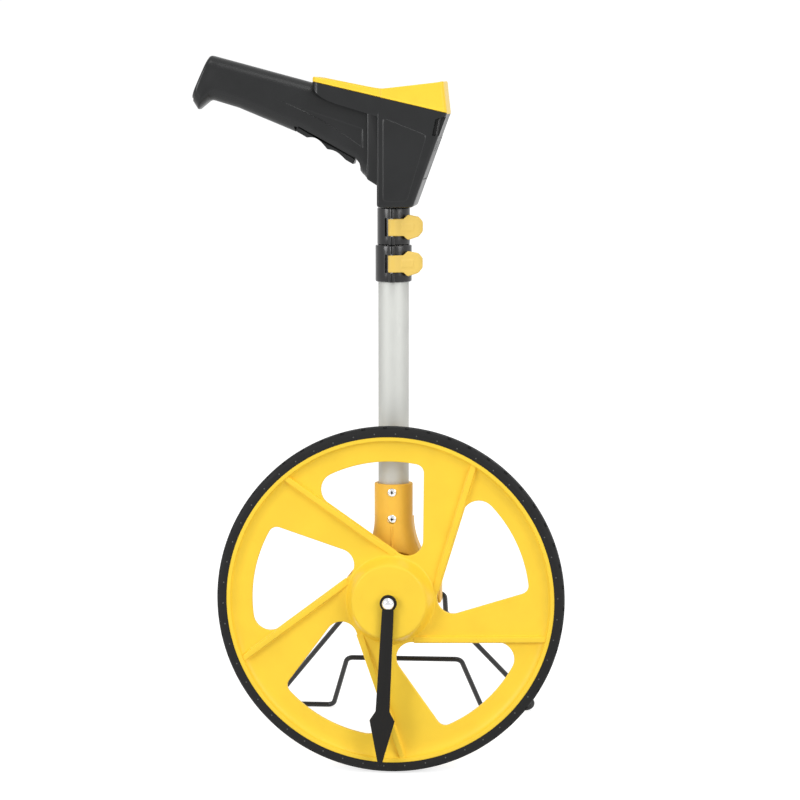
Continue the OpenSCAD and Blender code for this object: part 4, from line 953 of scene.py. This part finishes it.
def screw_shape(seat):
    """Screw head as depth over radius and angle: an ellipse for the dome, with a cross sunk into it
    that is shallower away from its middle."""
    r, drive_r, high = 4.0, 2.4, 2.0
    rho = np.concatenate([np.linspace(0, drive_r, 17), np.linspace(2.7, r, 6)])[None, :]
    a = circle(96)[:, None]
    x, z = rho * np.cos(a), rho * np.sin(a)
    dome = 0.25 - high * np.sqrt(np.maximum(1 - (rho / (1.12 * r)) ** 2, 0))
    # distance from the nearer bar of the cross, negative in it
    bar_half, bar_reach, deep, soft = 0.42, 2.0, 1.3, 0.25
    narrow, far = np.minimum(np.abs(x), np.abs(z)), np.maximum(np.abs(x), np.abs(z))
    bar = np.maximum(narrow - bar_half, far - bar_reach)
    sunk = deep * smooth(0.5 - bar / soft) * np.clip(1.25 - rho / drive_r, 0, 1)
    head = joined(x, dome + sunk, z)
    rim = joined(r * np.cos(a), 0.9, r * np.sin(a))
    return moved(sheet(np.concatenate([head, rim], 1), wrap_n=True), (0, seat, 0))


def cross_shape(seat):
    """Painted shade in a screw's cross: a dark sheet on the cross's floor, an outline filled across."""
    wide, far = 0.8, 1.9
    half = [(far, wide), (wide, wide), (wide, far), (-wide, far), (-wide, wide), (-far, wide)]
    return plate(np.array(half + [(-x, -z) for x, z in half]), seat - 0.8, seat - 0.35, 0.1)


class WHEEL_OT_screws(Operator):
    """Pan-head screws of the socket, each a dome with a cross sunk in it, and a dark sheet of painted
    shade on each cross's floor
    """

    bl_idname = "measuring_wheel.screws"
    bl_label = "Socket screws"

    def execute(self, context):
        seat = 15.75
        for name, shape, nodes, finish in (
            ("socket_screws_visual", screw_shape(seat), ["socket_screws"], "chrome_plate"),
            # a dark sheet on the floor of each cross, painted shade of the recess
            ("socket_screw_recess_shade", cross_shape(seat), [], "blackened_steel_and_recess_shade"),
        ):
            make(name, [moved(shape, (0, 0, z)) for z in SOCKET_SCREWS_Z], "chassis", nodes, finish)
        return {"FINISHED"}


# Head and handle, in X and in the height h over the head's underside

# lean of the front wall in degrees, and slopes of that wall and of the seam under the bezel
FRONT_A = 20.0
FRONT, SEAM = math.tan(math.radians(FRONT_A)), math.tan(math.radians(13.1))
# sides of the raised panel as lines a x + b h = c, and the places of the shell screws
PANEL = ((-1, 0, 7.6), (0.371, 0.928, 73.1), (0.958, -0.285, 12.9), (0, -1, -5.0))
SCREWS = ((-150, 112), (-104, 96), (-48, 77), (17.5, 11), (26, 79))
# battery door: height of its middle, half height along the wall and half width of its opening, gap,
# and the heights of the opening's edges
DOOR_H, DOOR_TALL, DOOR_WIDE, DOOR_GAP, BAY_H = 44.0, 20.0, 23.0, 0.3, (25.2, 62.8)
# pivot of the trigger, x and h of its slot's upper edge, how much further forward the slot goes
# between the walls, and the length of its steep ends
TRIGGER_PIVOT = (-82.5, 75.5)
SLOT_X, SLOT_H = (-89.0, -85.4, -34.9, -32.6), (69.4, 72.8, 44.9, 41.6)
SLOT_FORWARD, SLOT_END = 3.0, 0.2


def sunk_screws(x, h):
    """Depth of the round holes over the heads of the shell screws."""
    r, deep, soft = 3.3, 2.2, 0.4
    return sum(deep * smooth((r - np.hypot(x - a, h - b)) / soft) for a, b in SCREWS)


def front_top(s):
    """Front of the head at the top of its front wall."""
    return s.front + s.front_height * FRONT


def seam_height(s, x):
    """Height of the seam between shells and bezel."""
    return s.front_height + (front_top(s) - x) * SEAM


def hollow_depth(x, h):
    """Depth of the drop-shaped hollow in the handle's side, which lies between a line above and a
    parabola below. It is deeper towards its bevelled lower edge and shallower where it is narrow."""
    start, end, deep = -109.4, -26.0, 0.95
    t = x - start
    below, above = 98.9 - 0.331 * t - h, h - (98.7 - 0.36 * t - 0.0023 * t * t)
    wide = np.maximum(below + above, 0.1)
    ramp = (0.4 + 0.6 * np.clip(below / wide, 0, 1)) * np.clip(wide / 3, 0.45, 1)
    blend = np.clip(wide / 5, 0.3, 1)
    bevel = np.clip(0.68 * above / blend, 0, 1)
    return deep * ramp * smooth(below / blend) * bevel * smooth((end - x) / 1.6) * (t > 0.5)


def trigger_room(x, y, h):
    """Heights of the handle's points, lifted where the trigger's slot is open from below. Between
    the walls the slot is deeper and reaches further forward, so that the arm can swing."""
    wall_y, deeper, nowhere = 13.4, 12.5, -999
    between = y < wall_y
    x = x - np.where(between, SLOT_FORWARD * smooth((x + 60) / 20), 0)
    at = (SLOT_X[0] - SLOT_END, *SLOT_X, SLOT_X[-1] + SLOT_END)
    edge = np.interp(x, at, (nowhere, *SLOT_H, nowhere))
    return np.maximum(h, edge + np.where(between, deeper, 0))


def grip_shape(s, far):
    """Half of the handle. A section is a rounded half rectangle with a pillowed side, between a point
    of the top line and one of the underside. A hollow is pressed into its side, and the slot of the
    trigger is kept open from below."""
    top_a, end_r, pillow = 15.0, 2.5, 0.11
    end_top, end_low = np.array((-167, 137.4)), np.array((-184.6, 98.0))
    # corners of the underside with their roundings, and the x of the top line over each of them
    corners = np.array(
        [
            (-184.6, 98, 0, -165),
            (-178, 87.6, 1.2, -162.5),
            (-166.4, 97.2, 7, -157.5),
            (-141, 89.6, 30, -136),
            (-86, 66.8, 20, -76),
            (-34.4, 38.6, 5, -25),
            (-24.6, 26.2, 6, -17),
            (-9.9, 17.2, 0, -9.9),
        ]
    )
    under = bent(corners[:, :3])
    # sections at every edge of the slot, those between the walls too
    slot_front = SLOT_X[-1] + np.array((SLOT_END, SLOT_FORWARD, SLOT_FORWARD + SLOT_END))
    slot = np.concatenate([[SLOT_X[0] - SLOT_END], SLOT_X, slot_front])
    x_low = np.unique(np.concatenate([under[:, 0], np.linspace(-183, -17, 330), slot]))
    x_low = x_low[(x_low > -183.2) & (x_low < -16.9)]
    # in the neck the underside lies a little inside it
    neck_x, neck_in = -27.0, 0.5
    h_low = np.interp(x_low, under[:, 0], under[:, 1]) + neck_in * (x_low > neck_x)
    x_top = np.interp(x_low, corners[:, 0], corners[:, 3])
    h_top = end_top[1] - (x_top - end_top[0]) * math.tan(math.radians(top_a))
    # the rounding of the butt: rows that are set in and lie behind each other
    inset, depth = (step[:-1] for step in rounding(end_r, 6))
    rise, behind = unit(end_top - end_low), depth[:, None] * direction(-top_a)
    top = np.concatenate([end_top + behind - inset[:, None] * rise, joined(x_top, h_top)])
    low = np.concatenate([end_low + behind + inset[:, None] * rise, joined(x_low, h_low)])
    inset = np.concatenate([inset, np.zeros(len(x_low))])[:, None]
    w, r = s.grip - inset, s.grip_round - inset
    q = np.radians(np.linspace(0, 90, 13))
    # two more rows at the wall of the trigger's slot
    q2 = np.radians(np.sort(np.concatenate([np.linspace(0, 90, 13), [44.2, 46.9]])))
    side = np.linspace(0, 1, 92)[1:-1]
    tall = np.linalg.norm(top - low, axis=1)[:, None]
    down = [0 * w, r * (1 - np.cos(q)), r + (tall - 2 * r) * side, tall - r + r * np.sin(q2), tall]
    out = [0 * w, w - r + r * np.sin(q), w + 0 * side, w - r + r * np.cos(q2), 0 * w]
    share = np.concatenate(down, 1) / tall
    y = np.concatenate(out, 1) * (1 - pillow * (2 * share - 1) ** 2)
    p = top[:, None] + share[..., None] * (low - top)[:, None]
    x, h = p[..., 0], p[..., 1]
    dent = hollow_depth(x, h) + (sunk_screws(x, h) if far else 0)
    y = np.where(y > 0.6 * s.grip, y - dent, y)
    return joined(x, y, trigger_room(x, y, h))


def box_shape(s, far):
    """Half of the head. Rows rise from the underside to the seam, h = v times the seam's height;
    a row goes round from the rear wall over the side to the front wall, whose x follows from v.
    The side carries a raised panel and the notch of the strap, the front the bay of the batteries."""
    r, rear_r, front_r, gap, tall = 2.5, 2.0, 4.0, 0.06, 98.0
    low_in, low_deep = (step[:-1] for step in rounding(r, 6))
    bay_h = np.array(BAY_H)
    edges = bay_h / seam_height(s, s.front + bay_h * FRONT)
    v = [low_deep / tall, np.linspace(r / tall, 1, 240), edges - gap / tall, edges + gap / tall]
    v = np.sort(np.concatenate(v))[:, None]
    inset = np.zeros_like(v)
    inset[: len(low_in), 0] = low_in
    front = (s.front + v * FRONT * (s.front_height + front_top(s) * SEAM)) / (1 + v * FRONT * SEAM)
    q = np.radians(np.linspace(0, 90, 7))
    w = s.half_width - inset
    x0, x1 = -s.rear + inset + rear_r, front - inset - front_r
    side = np.linspace(0, 1, 140)[1:-1]
    bay_y = np.array((DOOR_WIDE + gap, DOOR_WIDE - gap, 12.0, 0.0))
    rear_x, front_x = x0 - rear_r * np.cos(q), x1 + front_r * np.sin(q)
    rear_y, front_y = w - rear_r + rear_r * np.sin(q), w - front_r + front_r * np.cos(q)
    x = [x0 - rear_r, rear_x, x0 + (x1 - x0) * side, front_x, x1 + front_r + 0 * bay_y]
    y = [0 * w, rear_y, w + 0 * side, front_y, bay_y + 0 * w]
    x, y = np.concatenate(x, 1), np.concatenate(y, 1)
    h = v * seam_height(s, x)
    # distance inside the panel's nearest side, softened where two sides meet
    lift, soft, blend = 0.6, 1.2, 0.7
    within = -np.log(sum(np.exp(blend * (a * x + b * h - c)) for a, b, c in PANEL)) / blend
    raised = lift * smooth(within / soft)
    y = np.where(y > w - 0.01, y + raised - (sunk_screws(x, h) if far else 0), y)
    # the strap's notch lies before a steep line, below a slanting one and over a level one
    notch_y = s.half_width - 6.4
    notch = (x > 39.0 + 0.207 * (h - 72.5)) & (h < 80.2 + 0.256 * (x - 43.0)) & (h > 65.0)
    y = np.where(notch & (y > notch_y), notch_y, y)
    in_bay = (y < DOOR_WIDE) & (v > edges[0]) & (v < edges[1]) & (x > x1 + front_r - 0.01)
    bay_deep = 15.5
    bay = bay_deep * direction(FRONT_A)
    return joined(np.where(in_bay, x - bay[0], x), y, np.where(in_bay, h + bay[1], h))


def tray_shape(s, far):
    """Half of the key tray, alike on both shells. A section goes from the seam down a side that draws
    in below a band, and the depth grows from the rear end towards the head."""
    r, band = 6.0, 11.0
    _, end = rounding(r, 11)
    x = np.concatenate([end - s.tray, np.linspace(-65, -11, 60)])[:, None]
    plan = s.half_width - r + np.sqrt(np.maximum(r * r - np.clip(-s.tray + r - x, 0, r) ** 2, 0))
    # depth along X, steep at the round rear end
    at = (-71.5, -71.2, -70.4, -69, -66.5, -63, -58, -50, -29.8, -12.9)
    deep = np.interp(x, at, (1.0, 3.2, 5.6, 7.8, 10.2, 12.2, 13.7, 14.9, 16.3, 17.4))
    d = deep * np.linspace(0, 1, 40)
    below = np.clip((d - band) / 20, 0, 1)
    y = plan - 30 * below * smooth(0.5 * below)
    d = np.concatenate([0 * x, d, deep], 1)
    y = np.concatenate([0 * x, y, 0 * x], 1)
    return joined(x, y, seam_height(s, x) - d)


def neck_shape(s):
    """Half of the neck, a plate between handle and head."""
    outline = rounded([(-23.0, 25.6, 4), (-9.9, 17.4, 0.3), (-9.9, 90, 0.3), (-23.0, 92, 0.3)])
    return plate(outline, -s.neck, 0, 2.2, 0.02)


class WHEEL_OT_shells(Operator):
    """The two shells of head and handle, mirrored at the parting plane"""

    bl_idname = "measuring_wheel.shells"
    bl_label = "Shells"

    def execute(self, context):
        s = MM(context.scene.measuring_wheel.head)
        depth = MM(context.scene.measuring_wheel.tube).depth
        for name, sign in (("shell_near", -1), ("shell_far", 1)):
            shapes = [capped(shape(s, sign > 0)) for shape in (grip_shape, box_shape, tray_shape)]
            neck, faces = neck_shape(s)
            shapes.append((neck * (1, -1, 1), faces))
            move = (0, depth + sign * s.parting / 2, s.base)
            shapes = [(points * (1, sign, 1) + move, own) for points, own in shapes]
            make(name + "_visual", shapes, "head", [name], "textured_black_abs", 40)
        return {"FINISHED"}


# where the planes of keys and display meet, the slopes of both, the middle of the keys and their
# places from there
VALLEY, KEY_SLOPE, DISPLAY_SLOPE, KEYS_X = (-11.0, 103.56), -0.2275, 0.1637, -39.0
KEY_SPOTS = {"key_power": (-12.5, -11.5), "key_unit": (-12.5, 11.5), "key_hold": (9.5, 0.0)}
# recess of the keys, seat of the window and opening over the display: ends along X, half width,
# depth and width of the soft edge
KEY_RECESS = (-61.4, -17.5, 23.0, 1.7, 0.9)
WINDOW_SEAT = (-4.2, 40.2, 23.3, 2.45, 0.25)
OPENING = (-1.7, 38.3, 21.1, 4.0, 0.25)


def rim_height(x):
    """Top edge of the bezel: it falls along the keys and rises along the hood, blended in the valley."""
    return np.logaddexp(117.0 - 0.2 * (x + 66), 113.4 + 0.115 * (x - 47.2))


def inside(x, y, x0, x1, half):
    """Distance of points from the nearest side of a rectangle, positive inside."""
    return np.minimum(np.minimum(x - x0, x1 - x), half - np.abs(y))


def end_round(x, rear, front, r0, r1):
    """How far a quarter circle at either end draws an edge in."""
    a, b = np.clip(rear + r0 - x, 0, r0), np.clip(x - front + r1, 0, r1)
    return r0 - np.sqrt(r0**2 - a * a) + r1 - np.sqrt(r1**2 - b * b)


def bezel_shape(s):
    """Bezel as sections along X: a tongue below, a thin flange, the side wall, the rounded rim, and
    inside it the planes of keys and display, with the recess of the keys, the seat of the window and
    the opening over the display. The ends are quarter circles in plan, and the hood's front leans
    back."""
    rear, front, r, rear_r, front_r = -s.tray, front_top(s), 0.8, 6, 4
    tray_half, hood_wider, lean = 26.9, 1.1, 0.109
    cuts = [(x0, x0 + soft, x1 - soft, x1) for x0, x1, _, _, soft in (WINDOW_SEAT, OPENING)]
    (_, rear_end), (front_end, _) = rounding(rear_r, 13), rounding(front_r, 13)
    middle = np.linspace(rear + rear_r, front - front_r, 250)[1:-1]
    middle = np.sort(np.concatenate([middle, *cuts]))
    x = np.concatenate([rear + rear_end, middle, front - front_end])[:, None]
    w = tray_half + hood_wider * smooth((x + 10.5) / 2.2) - end_round(x, rear, front, rear_r, front_r)
    top = rim_height(x) - end_round(x, rear, front, 2, 1.5)
    seam = seam_height(s, x)
    wall = np.linspace(0, 1, 8)
    a = np.linspace(0, np.pi / 2, 6)[1:]
    inner = tray_half + hood_wider - r
    cuts = [(half / inner, (half - soft) / inner) for _, _, half, _, soft in (WINDOW_SEAT, OPENING)]
    span = np.sort(np.concatenate([np.linspace(0, 1, 64), *cuts]))[-2::-1]
    side0, side1 = seam + 1.9, top - r
    # tongue, flange and the foot of the side wall
    y = [0 * w, w - 2.4, w - 2.4, w - 0.1, w + 0.3, w + 0.3, w + 0.1]
    h = [seam - 0.6, seam - 0.6, seam + 0.4, seam + 0.4, seam + 0.65, seam + 1.3, seam + 1.65]
    y = np.concatenate(y + [w + 0 * wall, w - r + r * np.cos(a), (w - r) * span], 1)
    h = np.concatenate(h + [side0 + (side1 - side0) * wall, side1 + r * np.sin(a), top + 0 * span], 1)
    keys, display = (VALLEY[1] + slope * (x - VALLEY[0]) for slope in (KEY_SLOPE, DISPLAY_SLOPE))
    plane = np.logaddexp(3 * keys, 3 * display) / 3
    floor, floor_soft = (rear + 4.5, front - 6.5, 26.0), 1.6
    fall = (top - plane) * smooth(inside(x, y, *floor) / floor_soft)
    for x0, x1, half, deep, soft in (KEY_RECESS, WINDOW_SEAT, OPENING):
        fall = fall + deep * smooth(inside(x, y, x0, x1, half) / soft)
    h[:, -len(span) :] -= fall[:, -len(span) :]
    x = x - lean * (h - s.front_height) * smooth((x - 41) / 9)
    section = joined(x, y, h)
    return capped(np.concatenate([section, section[:, -2:0:-1] * (1, -1, 1)], 1))


def key_shape(spot):
    """Key turned about its axis, a shallow dome with a rounded edge, tilted onto the keys' plane."""
    foot = -2.4
    crown = [(0.0, -0.2), (1.6, -0.22), (3.2, -0.28), (4.3, -0.36)]
    edge = arc((4.7, -1.15), 0.8, 70, 0, 5)
    profile = np.concatenate([crown, edge, [(5.5, foot), (0, foot)]])
    points, faces = stood(turned(profile, circle(48)), (*spot, 0))
    x, y, z = points.T
    cos, sin = direction(-math.degrees(math.atan(KEY_SLOPE)))
    middle = VALLEY[1] + KEY_SLOPE * (KEYS_X - VALLEY[0])
    return joined(KEYS_X + x * cos + z * sin, y, middle - x * sin + z * cos), faces


def door_shapes(s):
    """Battery door, a plate let into the front wall, with five finger ribs near its upper edge."""
    wide, tall, r = DOOR_WIDE - DOOR_GAP, DOOR_TALL - DOOR_GAP, 2
    shapes = [plate(rectangle(wide, tall, r), 0.2, 2.4, 0.5, 0.1)]
    ribs, half, thick, first, step = 5, 11.0, 0.55, 7.5, 2.1
    rib = rectangle(half, thick, 0.5, 4)
    shapes += [plate(rib + (0, first + step * k), -0.25, 0.6, 0.4, 0.05) for k in range(ribs)]
    cos, sin = direction(FRONT_A)
    turn = np.array([(0, 1, 0), (-cos, 0, sin), (sin, 0, cos)])
    return [(p @ turn + (s.front + DOOR_H * FRONT, 0, DOOR_H), faces) for p, faces in shapes]


def trigger_shapes():
    """Trigger: an arm round the pivot, and outside the slot the finger piece, whose lower side is a
    line with two half sine hollows. Both are outlines filled across with rounded edges."""
    arm_half, lip_half = 10, 13
    t = np.linspace(0, 1, 61)
    hollows = ((0.13, 0.46, 2.4), (0.46, 0.82, 4.0))
    rise = sum(d * np.sin(np.pi * np.clip((t - a) / (b - a), 0, 1)) for a, b, d in hollows)
    front, rear = np.array((-36.0, 38.8)), np.array((-87.0, 68.0))
    finger = front + t[:, None] * (rear - front)
    finger[:, 1] += rise
    back = [(-62, 68), (-42, 56.5), (-36.2, 50), (-34.6, 43.6)]
    arm = np.concatenate([arc(TRIGGER_PIVOT, 5.5, 150, 60, 8), back, finger + (0, 2), [(-88, 71)]])
    lip = np.concatenate([[(-88.2, 69.1), (-85.3, 71.9), (-35.5, 44.4), (-34.9, 42.6)], finger])
    return [plate(arm, -arm_half, arm_half, 0.5), plate(lip, -lip_half, lip_half, 0.9)]


def pin_shape():
    """Pin of the trigger, turned with chamfered ends."""
    r, half, chamfer = 1.5, 14.2, 0.3
    end = [(r, half - chamfer), (r - chamfer, half), (0.0, half)]
    profile = [(x, -y) for x, y in end[::-1]] + end
    return moved(turned(profile, circle(32)), (TRIGGER_PIVOT[0], 0, TRIGGER_PIVOT[1]))


class WHEEL_OT_head(Operator):
    """Bezel, keys, door and trigger of the head"""

    bl_idname = "measuring_wheel.head"
    bl_label = "Head"

    def execute(self, context):
        s = MM(context.scene.measuring_wheel.head)
        pieces = [
            ("display_bezel", "head", "moulded_yellow_abs", [bezel_shape(s)]),
            ("battery_door", "battery_door", "textured_black_abs", door_shapes(s)),
            ("trigger", "trigger", "textured_black_abs", trigger_shapes()),
            ("trigger_pin", "head", "blackened_steel_and_recess_shade", [pin_shape()]),
        ]
        pieces += [(key, key, "silicone_rubber", [key_shape(spot)]) for key, spot in KEY_SPOTS.items()]
        move = (0, MM(context.scene.measuring_wheel.tube).depth, s.base)
        for node, body, finish, shapes in pieces:
            make(node + "_visual", [moved(shape, move) for shape in shapes], body, [node], finish, 40)
        return {"FINISHED"}


class WHEEL_OT_hardware(Operator):
    """Materials of the CAD nodes that stay as they are"""

    bl_idname = "measuring_wheel.hardware"
    bl_label = "Hardware"

    def execute(self, context):
        for finish, names in {
            "zinc_plated_steel": "axle axle_nut hub_spacers wheel_bearings lower_lever_pin "
            "upper_lever_pin shell_screws battery_contacts",
            "painted_steel_wire": "strap_bar",
            "solder_mask": "sensor_board main_board",
            "anodised_aluminium": "bearing_sleeve",
            "glass_filled_nylon_with_painted_sheen": "magnet_ring middle_plug inner_plug trigger_switch",
            "lacquered_cell": "batteries",
            "display_glass": "lcd_panel",
            "clear_acrylic": "display_window",
        }.items():
            for name in names.split():
                mesh = frame["nodes"][name].data
                mesh.materials.clear()
                mesh.materials.append(bpy.data.materials[finish])
        return {"FINISHED"}


# Stage

# name, place in metres, size in metres and watts of each lamp, and the place that all are turned to
SOFTBOXES = (
    ("key_light", (-1.6, -1.3, 1.15), 0.9, 19.0),
    ("fill_light", (1.6, -1.2, 1.3), 1.1, 18.0),
    ("top_light", (0.5, -0.25, 2.3), 0.7, 8.0),
)
LAMP_AIM = (0, 0.05, 0.35)
# camera of the photo: its place by the upright wheel in millimetres, turn and dip in degrees, lens
CAMERA_AT, CAMERA_YAW, CAMERA_DIP, LENS = (249.36, -2695.36, 470.61), 5.1, 6.06, 135.0
# strength of the world's light, and shade and glow of the floor's paper
WORLD_LIGHT, PAPER, PAPER_GLOW = 0.55, "CCCCCC", 0.7


def seen_rays(tree):
    """One for rays from the camera and for those that a gloss or a glass sends on, else zero."""
    path = add(tree, "ShaderNodeLightPath")
    seen = (path, "Is Camera Ray")
    for kind in ("Is Glossy Ray", "Is Transmission Ray"):
        seen = (add(tree, "ShaderNodeMath", {0: seen, 1: (path, kind)}, operation="MAXIMUM"), 0)
    return seen


def standing(turn, eye):
    """Matrix of a lamp or camera from its axes and place."""
    m = np.eye(4)
    m[:3, :3], m[:3, 3] = turn, eye
    return Matrix(m.tolist())


def build_world():
    """World that is white where it is seen and lights the object more weakly."""
    world = bpy.data.worlds.new("stage_world")
    tree = emptied(world)
    light = add(tree, "ShaderNodeBackground", {"Color": (1, 1, 1, 1), "Strength": WORLD_LIGHT})
    white = add(tree, "ShaderNodeBackground", {"Color": (1, 1, 1, 1), "Strength": 1.0})
    mix = add(tree, "ShaderNodeMixShader", {0: seen_rays(tree), 1: (light, 0), 2: (white, 0)})
    add(tree, "ShaderNodeOutputWorld", {"Surface": (mix, 0)})
    return world


def build_paper():
    """Matt white paper: where it is seen, a glow takes it to white and leaves its shadow."""
    mat = bpy.data.materials.new("floor_paper")
    tree = emptied(mat)
    paper = add(tree, "ShaderNodeBsdfDiffuse", {"Color": linear(PAPER)})
    lift = add(tree, "ShaderNodeMath", {0: seen_rays(tree), 1: PAPER_GLOW}, operation="MULTIPLY")
    shine = add(tree, "ShaderNodeEmission", {"Strength": (lift, 0)})
    both = add(tree, "ShaderNodeAddShader", {0: (paper, 0), 1: (shine, 0)})
    add(tree, "ShaderNodeOutputMaterial", {"Surface": (both, 0)})
    return mat


class WHEEL_OT_stage(Operator):
    """White floor and world, lights and the camera of the photo"""

    bl_idname = "measuring_wheel.stage"
    bl_label = "Stage"

    def execute(self, context):
        scene = context.scene
        scene.view_settings.view_transform = "Standard"
        scene.world = build_world()
        mesh = bpy.data.meshes.new("floor")
        mesh.from_pydata([(-12, -8, 0), (12, -8, 0), (12, 16, 0), (-12, 16, 0)], [], [(0, 1, 2, 3)])
        mesh.materials.append(build_paper())
        floor = bpy.data.objects.new("floor", mesh)
        scene.collection.objects.link(floor)
        for name, eye, size, watts in SOFTBOXES:
            light = bpy.data.lights.new(name, "AREA")
            light.size, light.energy = size, watts
            lamp = bpy.data.objects.new(name, light)
            back = unit(np.array(eye) - LAMP_AIM)
            side = unit(np.cross((0, 1, 0), back))
            lamp.matrix_world = standing(np.stack([side, np.cross(back, side), back], 1), eye)
            scene.collection.objects.link(lamp)
        (cos, sin), (level, dip) = direction(CAMERA_YAW), direction(CAMERA_DIP)
        ahead, right = np.array((-sin * level, cos * level, -dip)), np.array((cos, sin, 0))
        axes = np.stack([right, np.cross(right, ahead), -ahead])
        data = bpy.data.cameras.new("camera")
        data.sensor_width, data.lens = 36.0, LENS
        data.clip_start, data.clip_end = 0.05, 60.0
        camera = bpy.data.objects.new("camera", data)
        camera.matrix_world = standing((axes @ BASIS).T, placed(CAMERA_AT))
        scene.collection.objects.link(camera)
        scene.camera = camera
        return {"FINISHED"}


class WHEEL_PT_panel(Panel):
    """Sizes and build steps in the sidebar"""

    bl_label = "Measuring wheel"
    bl_idname = "WHEEL_PT_panel"
    bl_space_type = "VIEW_3D"
    bl_region_type = "UI"
    bl_category = "Measuring wheel"

    def draw(self, context):
        settings = context.scene.measuring_wheel
        for group in (settings.wheel, settings.tube, settings.head, settings.finish):
            box = self.layout.box()
            for key in group.__annotations__:
                box.prop(group, key)
        for op in OPERATORS:
            self.layout.operator(op.bl_idname)


OPERATORS = (
    WHEEL_OT_finishes,
    WHEEL_OT_wheel,
    WHEEL_OT_tyre,
    WHEEL_OT_pointer,
    WHEEL_OT_stand,
    WHEEL_OT_tubes,
    WHEEL_OT_clamps,
    WHEEL_OT_bracket,
    WHEEL_OT_screws,
    WHEEL_OT_shells,
    WHEEL_OT_head,
    WHEEL_OT_hardware,
    WHEEL_OT_stage,
)
CLASSES = (WheelSizes, TubeSizes, HeadSizes, Finish, Settings, *OPERATORS, WHEEL_PT_panel)


def register():
    for cls in CLASSES:
        bpy.utils.register_class(cls)
    bpy.types.Scene.measuring_wheel = PointerProperty(type=Settings)


def unregister():
    del bpy.types.Scene.measuring_wheel
    for cls in reversed(CLASSES):
        bpy.utils.unregister_class(cls)


def main():
    register()
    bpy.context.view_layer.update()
    for op in OPERATORS:
        name = op.bl_idname.split(".")[1]
        if getattr(bpy.ops.measuring_wheel, name)() != {"FINISHED"}:
            raise RuntimeError(name + " wasn't finished")
    bpy.context.view_layer.update()


if __name__ == "__main__":
    main()
